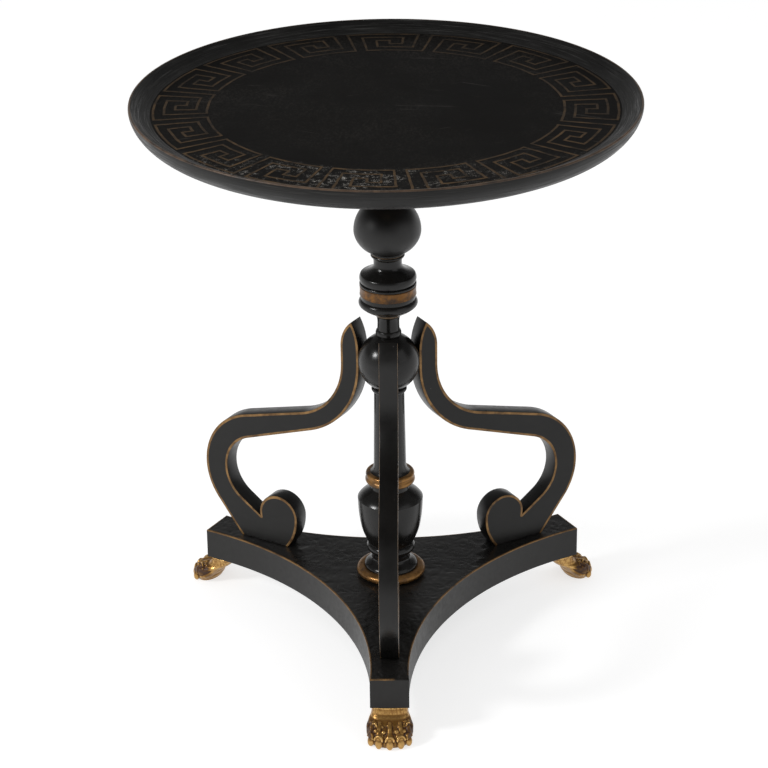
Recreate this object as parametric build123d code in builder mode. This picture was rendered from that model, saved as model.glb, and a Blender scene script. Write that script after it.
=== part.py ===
from build123d import *
import os
from math import acos, atan2, cos, degrees, hypot, radians, sin, sqrt

# Tilt-top occasional table: a dished round top hinged on a turned pillar, with three
# scrolled board legs, a three-cornered plinth and lion's paw feet.
# The origin is on the floor under the pillar's axis, +Z is up and one leg points to -Y.
# Every size is in millimetres.

os.makedirs("parts", exist_ok=True)

# ---------------------------------------------------------------- sizes: plinth and feet
corner_directions = {"front": 270, "right": 30, "left": 150}    # degrees about +Z from +X
plinth_thickness = 37.0
corner_reach = 246.0            # pillar axis to the flat end of a corner
corner_width = 43.4
side_distance = 82.5            # pillar axis to the middle of a hollow side

paw_height = 36.5
pad_reach = 257.0               # pillar axis to the middle of the pad
pad_length = 33.0
pad_width = 52.0
sole_inset = 4.0
cuff_length = 28.0
cuff_width = 40.0
heel_tongue_reach = 207.0
heel_tongue_width = 28.0
heel_tongue_depth = 10.0
toe_count = 5
toe_radius = 5.8
toe_fan_angle = 148.0           # degrees between the outermost toes, about the pad's middle
toe_arc_length = 14.5
toe_arc_width = 21.8
knuckle_height = 15.0
knuckle_setback = 5.0
paw_stud_radius = 4.0
paw_stud_depth = 9.0            # into the paw
plinth_stud_depth = 22.0        # into the plinth

# ---------------------------------------------------------------- sizes: scrolled legs
leg_thickness = 21.0
ball_seat_depth = 0.8           # how deep the flat for each leg is cut into the ball
leg_tip_reach = 43.5
leg_tip_rise = 42.0             # leg tip above the ball's centre
seat_rise = 7.0                 # top of the leg's straight back above the ball's centre
upper_bend_drop = 12.8          # upper bend's centre below the ball's centre
upper_bend_inner_radius = 101.0
upper_band_width = 23.8
outer_straight_rise = 24.0      # straight part of the leg's outer edge below its tip
lower_bend_reach = 174.0
lower_bend_rise = 89.0          # lower bend's centre above the plinth
lower_bend_outer_radius = 76.0
lower_band_width = 30.0
leg_foot_reach = 202.0          # outer end of the leg's foot on the plinth
volute_reach = 149.3
volute_rise = 38.5
volute_radius = 26.0
volute_tail_radius = 60.0
volute_notch_angle = -12.0
leg_screw_reaches = (156.0, 184.0)
leg_screw_length = 62.0
leg_dowel_radius = 4.0
leg_dowel_length = 32.0

# ---------------------------------------------------------------- sizes: turned pillar
base_ring_radius = 40.0
base_ring_height = 10.0
base_ring_bulge = 5.0
foot_radius = 31.0
foot_neck_radius = 21.8
foot_neck_height = 12.2
foot_cove_height = 8.4
vase_bead_radius = 28.0
vase_bead_height = 9.0
vase_low_radius = 25.5
vase_belly_radius = 34.2
vase_shoulder_radius = 37.8
vase_body_height = 58.2
shoulder_fillet_height = 1.2
vase_dome_height = 13.0
vase_neck_radius = 22.5
vase_neck_height = 7.0
vase_ring_radius = 28.8
vase_ring_height = 13.5
vase_ring_groove = 0.8
shaft_height = 108.2
shaft_foot_radius = 24.0
shaft_low_radius = 18.7
shaft_top_radius = 17.3
shaft_cove_height = 11.0
shaft_collar_radius = 20.2
shaft_collar_height = 6.0
ball_radius = 35.0
ball_lower_joint_radius = 17.0
ball_upper_joint_radius = 13.0
neck_bead_radius = 14.6
neck_bead_height = 7.0
neck_waist_radius = 12.6
neck_waist_height = 18.2
neck_ring_radius = 15.8
neck_ring_height = 3.0
cup_radius = 30.6
cup_height = 8.5
collar_bead_radius = 33.4
collar_bead_height = 9.0
collar_fillet_radius = 31.0
collar_fillet_height = 5.0
gilt_band_radius = 32.0
gilt_band_height = 11.7
capital_disc_radius = 32.2
capital_disc_height = 3.0
capital_groove_height = 0.8
capital_groove_radius = 30.8
capital_bead_radius = 32.2
capital_bead_height = 9.6
capital_slope_height = 12.0
capital_neck_radius = 15.9
capital_flare_height = 8.7
capital_flare_radius = 17.2
capital_cap_radius = 18.2
capital_cap_height = 6.7
top_ball_radius = 37.8
top_ball_drop = 25.1            # widest level of the ball above its lower joint
top_ball_lower_joint_radius = 19.4
top_ball_upper_joint_radius = 20.0
head_waist_radius = 17.0
head_collar_radius = 30.0
head_height = 43.0
head_collar_height = 7.0
base_tenon_radius = 14.0
base_tenon_length = 42.0
wide_tenon_radius = 10.0
ball_tenon_radius = 9.0
neck_tenon_radius = 7.5
tenon_length = 15.0

# ---------------------------------------------------------------- sizes: tilting head
block_width = 84.0
block_height = 50.0
pivot_drop = 20.0               # pivot axis below the underside of the top
pivot_radius = 6.0
pivot_depth = 20.0              # how far each pivot pin goes into the block
bearer_thickness = 22.0
bearer_depth = 38.0
bearer_length = 340.0
bearer_end_depth = 16.0
bearer_taper_length = 60.0
bearer_screw_places = (-100.0, -35.0, 90.0)
bearer_screw_recess = 14.0
screw_bite = 12.0               # how far the bearer screws go into the top

# ---------------------------------------------------------------- sizes: round top
top_radius = 280.0
top_depth = 29.0                # rim's edge above the underside
field_thickness = 18.5
underside_setback = 24.0        # rim's outer edge to the flat of the underside
field_setback = 23.5            # rim's outer edge to the flat field
rim_edge_width = 2.5
rim_edge_height = 3.0

# ---------------------------------------------------------------- sizes: barrel bolt
housing_width = 26.0
housing_length = 40.0
plate_thickness = 1.6
barrel_width = 12.0
barrel_depth = 10.0
bolt_radius = 3.0
bolt_drop = 7.0                 # bolt axis below the underside of the top
bolt_travel = 14.0
bolt_gap = 2.5                  # drawn-back bolt to the keeper
bolt_overhang = 5.5             # drawn-back bolt in front of its housing
bolt_length = 52.0
knob_radius = 3.5
knob_stem_radius = 2.0
knob_drop = 13.0
keeper_width = 26.0
keeper_height = 24.0
keeper_thickness = 2.0
keeper_top_margin = 2.0

# ---------------------------------------------------------------- sizes: screws and fits
wood_screw_radius = 2.3
wood_screw_head_radius = 4.6
wood_screw_head_height = 3.0
small_screw_radius = 1.3
small_screw_head_radius = 2.5
small_screw_head_height = 1.3
small_screw_length = 12.0
glue_gap = 0.05                 # around a tenon, dowel, screw or stud in its hole
tenon_end_gap = 0.5
running_gap = 0.05              # around the pivot pins and the bolt
side_gap = 0.5                  # between the block and each bearer
swing_gap = 0.4                 # between the block's rounded edge and the tilting top

# ---------------------------------------------------------------- levels worked out
plinth_top = paw_height + plinth_thickness
foot_bottom = plinth_top + base_ring_height
vase_bead_bottom = foot_bottom + foot_neck_height + foot_cove_height
vase_body_bottom = vase_bead_bottom + vase_bead_height
vase_shoulder = vase_body_bottom + vase_body_height
vase_dome_top = vase_shoulder + shoulder_fillet_height + vase_dome_height
vase_top = vase_dome_top + vase_neck_height
shaft_bottom = vase_top + vase_ring_height
shaft_top = shaft_bottom + shaft_height
ball_level = shaft_top + sqrt(ball_radius**2 - ball_lower_joint_radius**2)
neck_bottom = ball_level + sqrt(ball_radius**2 - ball_upper_joint_radius**2)
neck_cove_bottom = neck_bottom + neck_bead_height
cup_bottom = neck_cove_bottom + neck_waist_height + neck_ring_height
collar_bottom = cup_bottom + cup_height
collar_fillet_bottom = collar_bottom + collar_bead_height
band_bottom = collar_fillet_bottom + collar_fillet_height
capital_bottom = band_bottom + gilt_band_height
capital_bead_bottom = capital_bottom + capital_disc_height + capital_groove_height
capital_slope_bottom = capital_bead_bottom + capital_bead_height
capital_neck_level = capital_slope_bottom + capital_slope_height
capital_cap_bottom = capital_neck_level + capital_flare_height
capital_top = capital_cap_bottom + capital_cap_height
top_ball_level = capital_top + top_ball_drop
head_bottom = top_ball_level + sqrt(top_ball_radius**2 - top_ball_upper_joint_radius**2)
block_bottom = head_bottom + head_height
underside = block_bottom + block_height
rim_level = underside + top_depth
underside_radius = top_radius - underside_setback
field_radius = top_radius - field_setback
field_level = underside + field_thickness

block_half = block_width / 2
pivot_level = underside - pivot_drop
pivot_y = block_half - (pivot_drop - swing_gap)
bearer_inner = block_half + side_gap
seat_distance = ball_radius - ball_seat_depth
keeper_face = -block_half - keeper_thickness
bolt_level = underside - bolt_drop
bolt_tip = keeper_face - bolt_gap
housing_front = bolt_tip - bolt_overhang
housing_rear = housing_front - housing_length

FROM_TOP = (Align.CENTER, Align.CENTER, Align.MAX)
FROM_BASE = (Align.CENTER, Align.CENTER, Align.MIN)


# ---------------------------------------------------------------- helpers
def radial_plane(direction):
    """Upright plane through the pillar's axis: x runs outwards and y runs up."""
    outwards = Vector(cos(radians(direction)), sin(radians(direction)), 0)
    return Plane(origin=(0, 0, 0), x_dir=outwards, z_dir=outwards.cross(Vector(0, 0, 1)))


def point_at(direction, reach, level, aside=0.0):
    """Point at a reach from the pillar's axis, and aside of the radius to its left."""
    turn = radians(direction)
    return Vector(
        reach * cos(turn) - aside * sin(turn),
        reach * sin(turn) + aside * cos(turn),
        level,
    )


def on_circle(centre, radius, angle):
    """Point on a circle in a sketch, with the angle in degrees."""
    return (centre[0] + radius * cos(radians(angle)), centre[1] + radius * sin(radians(angle)))


def arc(centre, radius, start, end):
    """Arc of a circle between two angles, added to the outline that is being drawn."""
    ThreePointArc(
        on_circle(centre, radius, start),
        on_circle(centre, radius, (start + end) / 2),
        on_circle(centre, radius, end),
    )


def crossing_angle(upper, upper_radius, lower, lower_radius):
    """Direction of the normal of the line that passes under one circle and over the other."""
    run = upper[0] - lower[0]
    rise = upper[1] - lower[1]
    return degrees(atan2(rise, run) - acos((upper_radius + lower_radius) / hypot(run, rise)))


def touching_angle(point, centre, radius):
    """Where a line from an outside point touches the far side of a circle."""
    run = point[0] - centre[0]
    rise = point[1] - centre[1]
    return degrees(atan2(rise, run) + acos(radius / hypot(run, rise)))


def bead(radius, bottom, top, bulge):
    """Half-round moulding in a turned outline."""
    middle = (bottom + top) / 2
    ThreePointArc((radius - bulge, bottom), (radius, middle), (radius - bulge, top))


def drill(place, radius, depth):
    """Round hole into the part being built, from a plane that faces out of it."""
    with Locations(place.location):
        Cylinder(radius, depth, align=FROM_TOP, mode=Mode.SUBTRACT)


def sink(place, radius, head_radius, head_height):
    """Conical recess for a screw's head, flush with the plane."""
    with Locations(place.location):
        Cone(radius, head_radius, head_height, align=FROM_TOP, mode=Mode.SUBTRACT)


def save(piece, name):
    piece.part.label = name
    export_step(piece.part, f"parts/{name}.step")


def save_at_corners(piece, name):
    """The piece that was built at the front corner, saved at each of the three corners."""
    for corner, direction in corner_directions.items():
        turned = piece.part.rotate(Axis.Z, direction - corner_directions["front"])
        turned.label = f"{name}_{corner}"
        export_step(turned, f"parts/{name}_{corner}.step")


def save_screw(name, place, length, radius, head_radius, head_height):
    """Countersunk slotted screw whose head lies flush in the plane."""
    with BuildPart(place) as screw:
        Cylinder(radius, length, align=FROM_TOP)
        Cone(radius, head_radius, head_height, align=FROM_TOP)
        Box(2.2 * head_radius, head_radius / 4, head_height / 2, align=FROM_TOP, mode=Mode.SUBTRACT)
    save(screw, name)


def save_round(name, place, length, radius):
    """Plain round dowel, stud or pin that runs back from the plane."""
    with BuildPart(place) as rod:
        Cylinder(radius, length, align=FROM_TOP)
    save(rod, name)


# ---------------------------------------------------------------- plinth
cuff_reach = corner_reach - cuff_length / 2
paw_stud_length = paw_stud_depth + plinth_stud_depth
leg_screw_planes = {}
paw_stud_planes = {}
for corner, direction in corner_directions.items():
    for number, reach in enumerate(leg_screw_reaches, start=1):
        place = Plane(origin=point_at(direction, reach, paw_height), z_dir=(0, 0, -1))
        leg_screw_planes[f"leg_screw_{corner}_{number}"] = (corner, place)
    stud_foot = point_at(direction, cuff_reach, paw_height - paw_stud_depth)
    paw_stud_planes[corner] = Plane(origin=stud_foot, z_dir=(0, 0, -1))

with BuildPart() as plinth:
    with BuildSketch(Plane.XY.offset(paw_height)):
        with BuildLine():
            corners = list(corner_directions.values())
            for direction in corners:
                near_end = point_at(direction, corner_reach, 0, -corner_width / 2)
                far_end = point_at(direction, corner_reach, 0, corner_width / 2)
                next_end = point_at(direction + 120, corner_reach, 0, -corner_width / 2)
                Line((near_end.X, near_end.Y), (far_end.X, far_end.Y))
                hollow = point_at(direction + 60, side_distance, 0)
                ThreePointArc((far_end.X, far_end.Y), (hollow.X, hollow.Y), (next_end.X, next_end.Y))
        make_face()
    extrude(amount=plinth_thickness)
    drill(Plane.XY.offset(plinth_top), base_tenon_radius + glue_gap, plinth_thickness)
    for corner, place in leg_screw_planes.values():
        drill(place, wood_screw_radius + glue_gap, plinth_thickness)
        sink(place, wood_screw_radius, wood_screw_head_radius + glue_gap, wood_screw_head_height)
    for place in paw_stud_planes.values():
        drill(place, paw_stud_radius + glue_gap, paw_stud_length + tenon_end_gap)
save(plinth, "plinth")

for name, (corner, place) in leg_screw_planes.items():
    save_screw(name, place, leg_screw_length, wood_screw_radius,
               wood_screw_head_radius, wood_screw_head_height)

# ---------------------------------------------------------------- lion's paws
# Each paw runs out from a cuff under the plinth's corner to a broad pad with hooked toes,
# and a tongue runs back from its cuff along the plinth's underside.
paw_stations = (
    # share of the height, share of the way from the pad to the cuff
    (0.22, 0.00),
    (0.50, 0.12),
    (0.78, 0.85),
    (1.00, 1.00),
)
front = corner_directions["front"]
outwards = point_at(front, 1, 0)
with BuildPart() as paw:
    with BuildSketch(Plane(origin=point_at(front, pad_reach, 0), x_dir=outwards, z_dir=(0, 0, 1))):
        Ellipse(pad_length / 2 - sole_inset, pad_width / 2 - sole_inset)
    for height_share, cuff_share in paw_stations:
        reach = pad_reach + (cuff_reach - pad_reach) * cuff_share
        length = pad_length + (cuff_length - pad_length) * cuff_share
        width = pad_width + (cuff_width - pad_width) * cuff_share
        middle = point_at(front, reach, paw_height * height_share)
        with BuildSketch(Plane(origin=middle, x_dir=outwards, z_dir=(0, 0, 1))):
            Ellipse(length / 2, width / 2)
    loft()
    with BuildSketch(radial_plane(front)):
        with BuildLine():
            Polyline(
                (heel_tongue_reach, paw_height),
                (cuff_reach, paw_height),
                (cuff_reach, paw_height - heel_tongue_depth),
                close=True,
            )
        make_face()
    extrude(amount=heel_tongue_width / 2, both=True)
    for number in range(toe_count):
        turn = radians(toe_fan_angle * (number / (toe_count - 1) - 0.5))
        toe_reach = pad_reach + toe_arc_length * cos(turn)
        toe_aside = toe_arc_width * sin(turn)
        claw = point_at(front, toe_reach, toe_radius, toe_aside)
        knuckle = point_at(front, toe_reach - knuckle_setback, knuckle_height, toe_aside)
        toe_axis = Axis(claw, knuckle - claw)
        across = point_at(front, 0, 0, 1)
        toe_length = (knuckle - claw).length
        with BuildSketch(Plane(origin=claw, x_dir=across, z_dir=across.cross(toe_axis.direction))):
            with BuildLine():
                Line((0, -toe_radius), (0, toe_length + toe_radius))
                arc((0, toe_length), toe_radius, 90, 0)
                Line((toe_radius, toe_length), (toe_radius, 0))
                arc((0, 0), toe_radius, 0, -90)
            make_face()
        revolve(axis=toe_axis)
    drill(paw_stud_planes["front"].offset(glue_gap), paw_stud_radius + glue_gap, paw_stud_length)
save_at_corners(paw, "paw")

for corner, place in paw_stud_planes.items():
    save_round(f"paw_stud_{corner}", place, paw_stud_length, paw_stud_radius)

# ---------------------------------------------------------------- scrolled legs
# The board rises from the plinth as a volute, turns over the lower bend, runs in along a
# slanting band and turns up beside the ball, where it ends in a point.
upper_bend = (seat_distance + upper_bend_inner_radius, ball_level - upper_bend_drop)
upper_outer_radius = upper_bend_inner_radius - upper_band_width
lower_bend = (lower_bend_reach, plinth_top + lower_bend_rise)
lower_inner_radius = lower_bend_outer_radius - lower_band_width
volute = (volute_reach, plinth_top + volute_rise)
volute_tail = (volute_reach - volute_radius + volute_tail_radius, volute[1])
leg_tip = (leg_tip_reach, ball_level + leg_tip_rise)
leg_foot = (leg_foot_reach, plinth_top)
notch = on_circle(volute, volute_radius, volute_notch_angle)

outer_run = crossing_angle(upper_bend, upper_outer_radius, lower_bend, lower_bend_outer_radius)
inner_run = crossing_angle(upper_bend, upper_bend_inner_radius, lower_bend, lower_inner_radius)
foot_touch = touching_angle(leg_foot, lower_bend, lower_bend_outer_radius)
notch_touch = touching_angle(notch, lower_bend, lower_inner_radius)
tail_angle = 180 + degrees(atan2(volute_rise, sqrt(volute_tail_radius**2 - volute_rise**2)))

leg_dowel_planes = {}
for corner, direction in corner_directions.items():
    dowel_end = point_at(direction, seat_distance + leg_dowel_length / 2, ball_level)
    leg_dowel_planes[corner] = Plane(origin=dowel_end, z_dir=point_at(direction, 1, 0))

with BuildPart() as leg:
    with BuildSketch(radial_plane(front)):
        with BuildLine():
            back_top = (seat_distance, ball_level + seat_rise)
            Line((seat_distance, upper_bend[1]), back_top)
            TangentArc(back_top, leg_tip, tangent=(0, 1))
            outer_foot = on_circle(upper_bend, upper_outer_radius, 180)
            outer_top = (outer_foot[0], outer_foot[1] + outer_straight_rise)
            TangentArc(outer_top, leg_tip, tangent=(0, 1))
            Line(outer_top, outer_foot)
            arc(upper_bend, upper_outer_radius, 180, 180 + outer_run)
            Line(on_circle(upper_bend, upper_outer_radius, 180 + outer_run),
                 on_circle(lower_bend, lower_bend_outer_radius, outer_run))
            arc(lower_bend, lower_bend_outer_radius, outer_run, foot_touch)
            Line(on_circle(lower_bend, lower_bend_outer_radius, foot_touch), leg_foot)
            tail_end = on_circle(volute_tail, volute_tail_radius, tail_angle)
            Line(leg_foot, tail_end)
            arc(volute_tail, volute_tail_radius, tail_angle, 180)
            arc(volute, volute_radius, 180, volute_notch_angle)
            Line(notch, on_circle(lower_bend, lower_inner_radius, notch_touch))
            arc(lower_bend, lower_inner_radius, notch_touch, inner_run)
            Line(on_circle(lower_bend, lower_inner_radius, inner_run),
                 on_circle(upper_bend, upper_bend_inner_radius, 180 + inner_run))
            arc(upper_bend, upper_bend_inner_radius, 180 + inner_run, 180)
        make_face()
    extrude(amount=leg_thickness / 2, both=True)
    for corner, place in leg_screw_planes.values():
        if corner == "front":
            drill(place, wood_screw_radius + glue_gap, leg_screw_length + tenon_end_gap)
    dowel_bottom = leg_dowel_planes["front"].offset(tenon_end_gap)
    drill(dowel_bottom, leg_dowel_radius + glue_gap, leg_dowel_length)
save_at_corners(leg, "leg")

for corner, place in leg_dowel_planes.items():
    save_round(f"leg_dowel_{corner}", place, leg_dowel_length, leg_dowel_radius)

# ---------------------------------------------------------------- turned pillar
with BuildPart() as base_ring:
    with BuildSketch(Plane.XZ):
        with BuildLine():
            inner = base_tenon_radius + glue_gap
            rim = base_ring_radius - base_ring_bulge
            Line((inner, plinth_top), (rim, plinth_top))
            bead(base_ring_radius, plinth_top, foot_bottom, base_ring_bulge)
            Line((rim, foot_bottom), (inner, foot_bottom))
            Line((inner, foot_bottom), (inner, plinth_top))
        make_face()
    revolve(axis=Axis.Z)
save(base_ring, "base_ring")

with BuildPart() as vase:
    with BuildSketch(Plane.XZ):
        with BuildLine():
            neck_level = foot_bottom + foot_neck_height
            bead_root = (vase_bead_radius + vase_low_radius) / 2 - 1
            Line((0, foot_bottom), (foot_radius, foot_bottom))
            Line((foot_radius, foot_bottom), (foot_radius, foot_bottom + 2))
            Spline((foot_radius, foot_bottom + 2), (foot_neck_radius, neck_level),
                   tangents=((-0.3, 1), (0, 1)))
            Spline((foot_neck_radius, neck_level), (bead_root, vase_bead_bottom),
                   tangents=((0, 1), (1, 0.6)))
            bead(vase_bead_radius, vase_bead_bottom, vase_body_bottom, vase_bead_radius - bead_root)
            Line((bead_root, vase_body_bottom), (vase_low_radius, vase_body_bottom))
            Spline((vase_low_radius, vase_body_bottom),
                   (vase_belly_radius, vase_body_bottom + 0.4 * vase_body_height),
                   (vase_shoulder_radius, vase_shoulder))
            fillet_top = vase_shoulder + shoulder_fillet_height
            Line((vase_shoulder_radius, vase_shoulder), (vase_shoulder_radius, fillet_top))
            Spline((vase_shoulder_radius, fillet_top), (vase_neck_radius, vase_dome_top),
                   tangents=((-0.6, 1), (-0.6, 0.5)))
            Line((vase_neck_radius, vase_dome_top), (vase_neck_radius, vase_top))
            Line((vase_neck_radius, vase_top), (0, vase_top))
            Line((0, vase_top), (0, foot_bottom))
        make_face()
    revolve(axis=Axis.Z)
    with Locations((0, 0, foot_bottom)):
        Cylinder(base_tenon_radius, base_tenon_length, align=FROM_TOP)
    with Locations((0, 0, vase_top)):
        Cylinder(wide_tenon_radius, vase_ring_height + tenon_length, align=FROM_BASE)
save(vase, "vase")

with BuildPart() as vase_ring:
    with BuildSketch(Plane.XZ):
        with BuildLine():
            inner = wide_tenon_radius + glue_gap
            bulge = (vase_ring_height - vase_ring_groove) / 4
            groove_low = vase_top + 2 * bulge
            groove_high = groove_low + vase_ring_groove
            root = vase_ring_radius - bulge
            Line((inner, vase_top), (root, vase_top))
            bead(vase_ring_radius, vase_top, groove_low, bulge)
            Line((root, groove_low), (root, groove_high))
            bead(vase_ring_radius, groove_high, shaft_bottom, bulge)
            Line((root, shaft_bottom), (inner, shaft_bottom))
            Line((inner, shaft_bottom), (inner, vase_top))
        make_face()
    revolve(axis=Axis.Z)
save(vase_ring, "vase_ring")

with BuildPart() as shaft:
    with BuildSketch(Plane.XZ):
        with BuildLine():
            cove_top = shaft_bottom + shaft_cove_height
            collar_low = shaft_top - shaft_collar_height
            Line((0, shaft_bottom), (shaft_foot_radius - 1, shaft_bottom))
            Spline((shaft_foot_radius - 1, shaft_bottom), (shaft_low_radius, cove_top),
                   tangents=((-1, 0.6), (0, 1)))
            Line((shaft_low_radius, cove_top), (shaft_top_radius, collar_low))
            bead(shaft_collar_radius, collar_low, shaft_top, shaft_collar_radius - shaft_top_radius)
            Line((shaft_top_radius, shaft_top), (0, shaft_top))
            Line((0, shaft_top), (0, shaft_bottom))
        make_face()
    revolve(axis=Axis.Z)
    socket = Plane(origin=(0, 0, shaft_bottom), z_dir=(0, 0, -1))
    drill(socket, wide_tenon_radius + glue_gap, tenon_length + tenon_end_gap)
    with Locations((0, 0, shaft_top)):
        Cylinder(ball_tenon_radius, tenon_length, align=FROM_BASE)
save(shaft, "shaft")

with BuildPart() as scroll_ball:
    with Locations((0, 0, ball_level)):
        Sphere(ball_radius)
    split(bisect_by=Plane.XY.offset(shaft_top), keep=Keep.TOP)
    split(bisect_by=Plane.XY.offset(neck_bottom), keep=Keep.BOTTOM)
    for direction in corner_directions.values():
        seat = Plane(origin=point_at(direction, seat_distance, ball_level), z_dir=point_at(direction, 1, 0))
        with Locations(seat.location):
            Box(leg_thickness, ball_radius, ball_radius, align=FROM_BASE, mode=Mode.SUBTRACT)
        drill(seat, leg_dowel_radius + glue_gap, leg_dowel_length / 2 + tenon_end_gap)
    socket = Plane(origin=(0, 0, shaft_top), z_dir=(0, 0, -1))
    drill(socket, ball_tenon_radius + glue_gap, tenon_length + tenon_end_gap)
    with Locations((0, 0, neck_bottom)):
        Cylinder(neck_tenon_radius, tenon_length, align=FROM_BASE)
save(scroll_ball, "scroll_ball")

with BuildPart() as neck:
    with BuildSketch(Plane.XZ):
        with BuildLine():
            bead_root = (neck_bead_radius + neck_waist_radius) / 2
            waist_top = neck_cove_bottom + neck_waist_height
            waist_flare = (neck_waist_radius + neck_ring_radius) / 2
            collar_bulge = collar_bead_radius - cup_radius
            Line((0, neck_bottom), (bead_root, neck_bottom))
            bead(neck_bead_radius, neck_bottom, neck_cove_bottom, neck_bead_radius - bead_root)
            Line((bead_root, neck_cove_bottom), (neck_waist_radius, neck_cove_bottom + 1))
            Spline((neck_waist_radius, neck_cove_bottom + 1), (waist_flare, waist_top),
                   tangents=((0, 1), (0.5, 1)))
            Line((waist_flare, waist_top), (neck_ring_radius, waist_top + neck_ring_height / 2))
            Line((neck_ring_radius, waist_top + neck_ring_height / 2), (neck_ring_radius, cup_bottom))
            Spline((neck_ring_radius, cup_bottom), (cup_radius, collar_bottom),
                   tangents=((1, 0.35), (1, 1)))
            bead(collar_bead_radius, collar_bottom, collar_fillet_bottom, collar_bulge)
            Line((cup_radius, collar_fillet_bottom), (collar_fillet_radius, collar_fillet_bottom + 1))
            Line((collar_fillet_radius, collar_fillet_bottom + 1), (collar_fillet_radius, band_bottom))
            Line((collar_fillet_radius, band_bottom), (0, band_bottom))
            Line((0, band_bottom), (0, neck_bottom))
        make_face()
    revolve(axis=Axis.Z)
    socket = Plane(origin=(0, 0, neck_bottom), z_dir=(0, 0, -1))
    drill(socket, neck_tenon_radius + glue_gap, tenon_length + tenon_end_gap)
    with Locations((0, 0, band_bottom)):
        Cylinder(wide_tenon_radius, gilt_band_height + tenon_length, align=FROM_BASE)
save(neck, "neck")

with BuildPart() as gilt_band:
    with Locations((0, 0, band_bottom)):
        Cylinder(gilt_band_radius, gilt_band_height, align=FROM_BASE)
    drill(Plane.XY.offset(capital_bottom), wide_tenon_radius + glue_gap, gilt_band_height)
save(gilt_band, "gilt_band")

with BuildPart() as capital:
    with BuildSketch(Plane.XZ):
        with BuildLine():
            disc_top = capital_bottom + capital_disc_height
            rounding = capital_disc_height / 4
            bead_bulge = capital_bead_radius - capital_groove_radius
            Line((0, capital_bottom), (capital_disc_radius - rounding, capital_bottom))
            bead(capital_disc_radius, capital_bottom, disc_top, rounding)
            Line((capital_disc_radius - rounding, disc_top), (capital_groove_radius - 1, disc_top))
            Line((capital_groove_radius - 1, disc_top), (capital_groove_radius - 1, capital_bead_bottom))
            Line((capital_groove_radius - 1, capital_bead_bottom),
                 (capital_groove_radius, capital_bead_bottom))
            bead(capital_bead_radius, capital_bead_bottom, capital_slope_bottom, bead_bulge)
            Spline((capital_groove_radius, capital_slope_bottom),
                   (capital_neck_radius, capital_neck_level), tangents=((-1, 0.35), (0, 1)))
            Spline((capital_neck_radius, capital_neck_level),
                   (capital_flare_radius, capital_cap_bottom), tangents=((0, 1), (0.5, 1)))
            Line((capital_flare_radius, capital_cap_bottom), (capital_cap_radius, capital_cap_bottom))
            bead(capital_cap_radius + 1, capital_cap_bottom, capital_top, 1)
            Line((capital_cap_radius, capital_top), (0, capital_top))
            Line((0, capital_top), (0, capital_bottom))
        make_face()
    revolve(axis=Axis.Z)
    socket = Plane(origin=(0, 0, capital_bottom), z_dir=(0, 0, -1))
    drill(socket, wide_tenon_radius + glue_gap, tenon_length + tenon_end_gap)
    with Locations((0, 0, capital_top)):
        Cylinder(wide_tenon_radius, tenon_length, align=FROM_BASE)
save(capital, "capital")

with BuildPart() as top_ball:
    with BuildSketch(Plane.XZ):
        with BuildLine():
            Line((0, capital_top), (top_ball_lower_joint_radius, capital_top))
            Spline((top_ball_lower_joint_radius, capital_top), (top_ball_radius, top_ball_level),
                   tangents=((1, 0.3), (0, 1)))
            arc((0, top_ball_level), top_ball_radius, 0,
                degrees(acos(top_ball_upper_joint_radius / top_ball_radius)))
            Line((top_ball_upper_joint_radius, head_bottom), (0, head_bottom))
            Line((0, head_bottom), (0, capital_top))
        make_face()
    revolve(axis=Axis.Z)
    socket = Plane(origin=(0, 0, capital_top), z_dir=(0, 0, -1))
    drill(socket, wide_tenon_radius + glue_gap, tenon_length + tenon_end_gap)
    with Locations((0, 0, head_bottom)):
        Cylinder(wide_tenon_radius, tenon_length, align=FROM_BASE)
save(top_ball, "top_ball")

with BuildPart() as pillar_head:
    with BuildSketch(Plane.XZ):
        with BuildLine():
            head_collar_low = block_bottom - head_collar_height
            waist_level = (head_bottom + head_collar_low) / 2
            Line((0, head_bottom), (top_ball_upper_joint_radius, head_bottom))
            Spline((top_ball_upper_joint_radius, head_bottom), (head_waist_radius, waist_level),
                   (head_collar_radius, head_collar_low), tangents=((-0.6, 1), (1, 0.3)))
            Line((head_collar_radius, head_collar_low), (head_collar_radius, block_bottom))
            Line((head_collar_radius, block_bottom), (0, block_bottom))
            Line((0, block_bottom), (0, head_bottom))
        make_face()
    revolve(axis=Axis.Z)
    socket = Plane(origin=(0, 0, head_bottom), z_dir=(0, 0, -1))
    drill(socket, wide_tenon_radius + glue_gap, tenon_length + tenon_end_gap)
    with Locations((0, 0, block_bottom)):
        Cylinder(base_tenon_radius, block_height - tenon_end_gap, align=FROM_BASE)
save(pillar_head, "pillar_head")

# ---------------------------------------------------------------- pivot block
# The block's rear top edge is rounded about the pivot axis, so that the top swings past it.
pivot_planes = {
    "right": Plane(origin=(bearer_inner + bearer_thickness, pivot_y, pivot_level), z_dir=(1, 0, 0)),
    "left": Plane(origin=(-bearer_inner - bearer_thickness, pivot_y, pivot_level), z_dir=(-1, 0, 0)),
}
pin_length = bearer_thickness + side_gap + pivot_depth
keeper_top = underside - keeper_top_margin
keeper_middle = keeper_top - keeper_height / 2
keeper_screw_planes = [
    Plane(origin=(aside * keeper_width * 0.32, keeper_face, keeper_middle - keeper_height * 0.3),
          z_dir=(0, -1, 0))
    for aside in (-1, 1)
]
bolt_hole = Plane(origin=(0, keeper_face, bolt_level), z_dir=(0, -1, 0))
bolt_reach = bolt_travel - bolt_gap + 2
bolt_hole_radius = bolt_radius + 0.6

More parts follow.
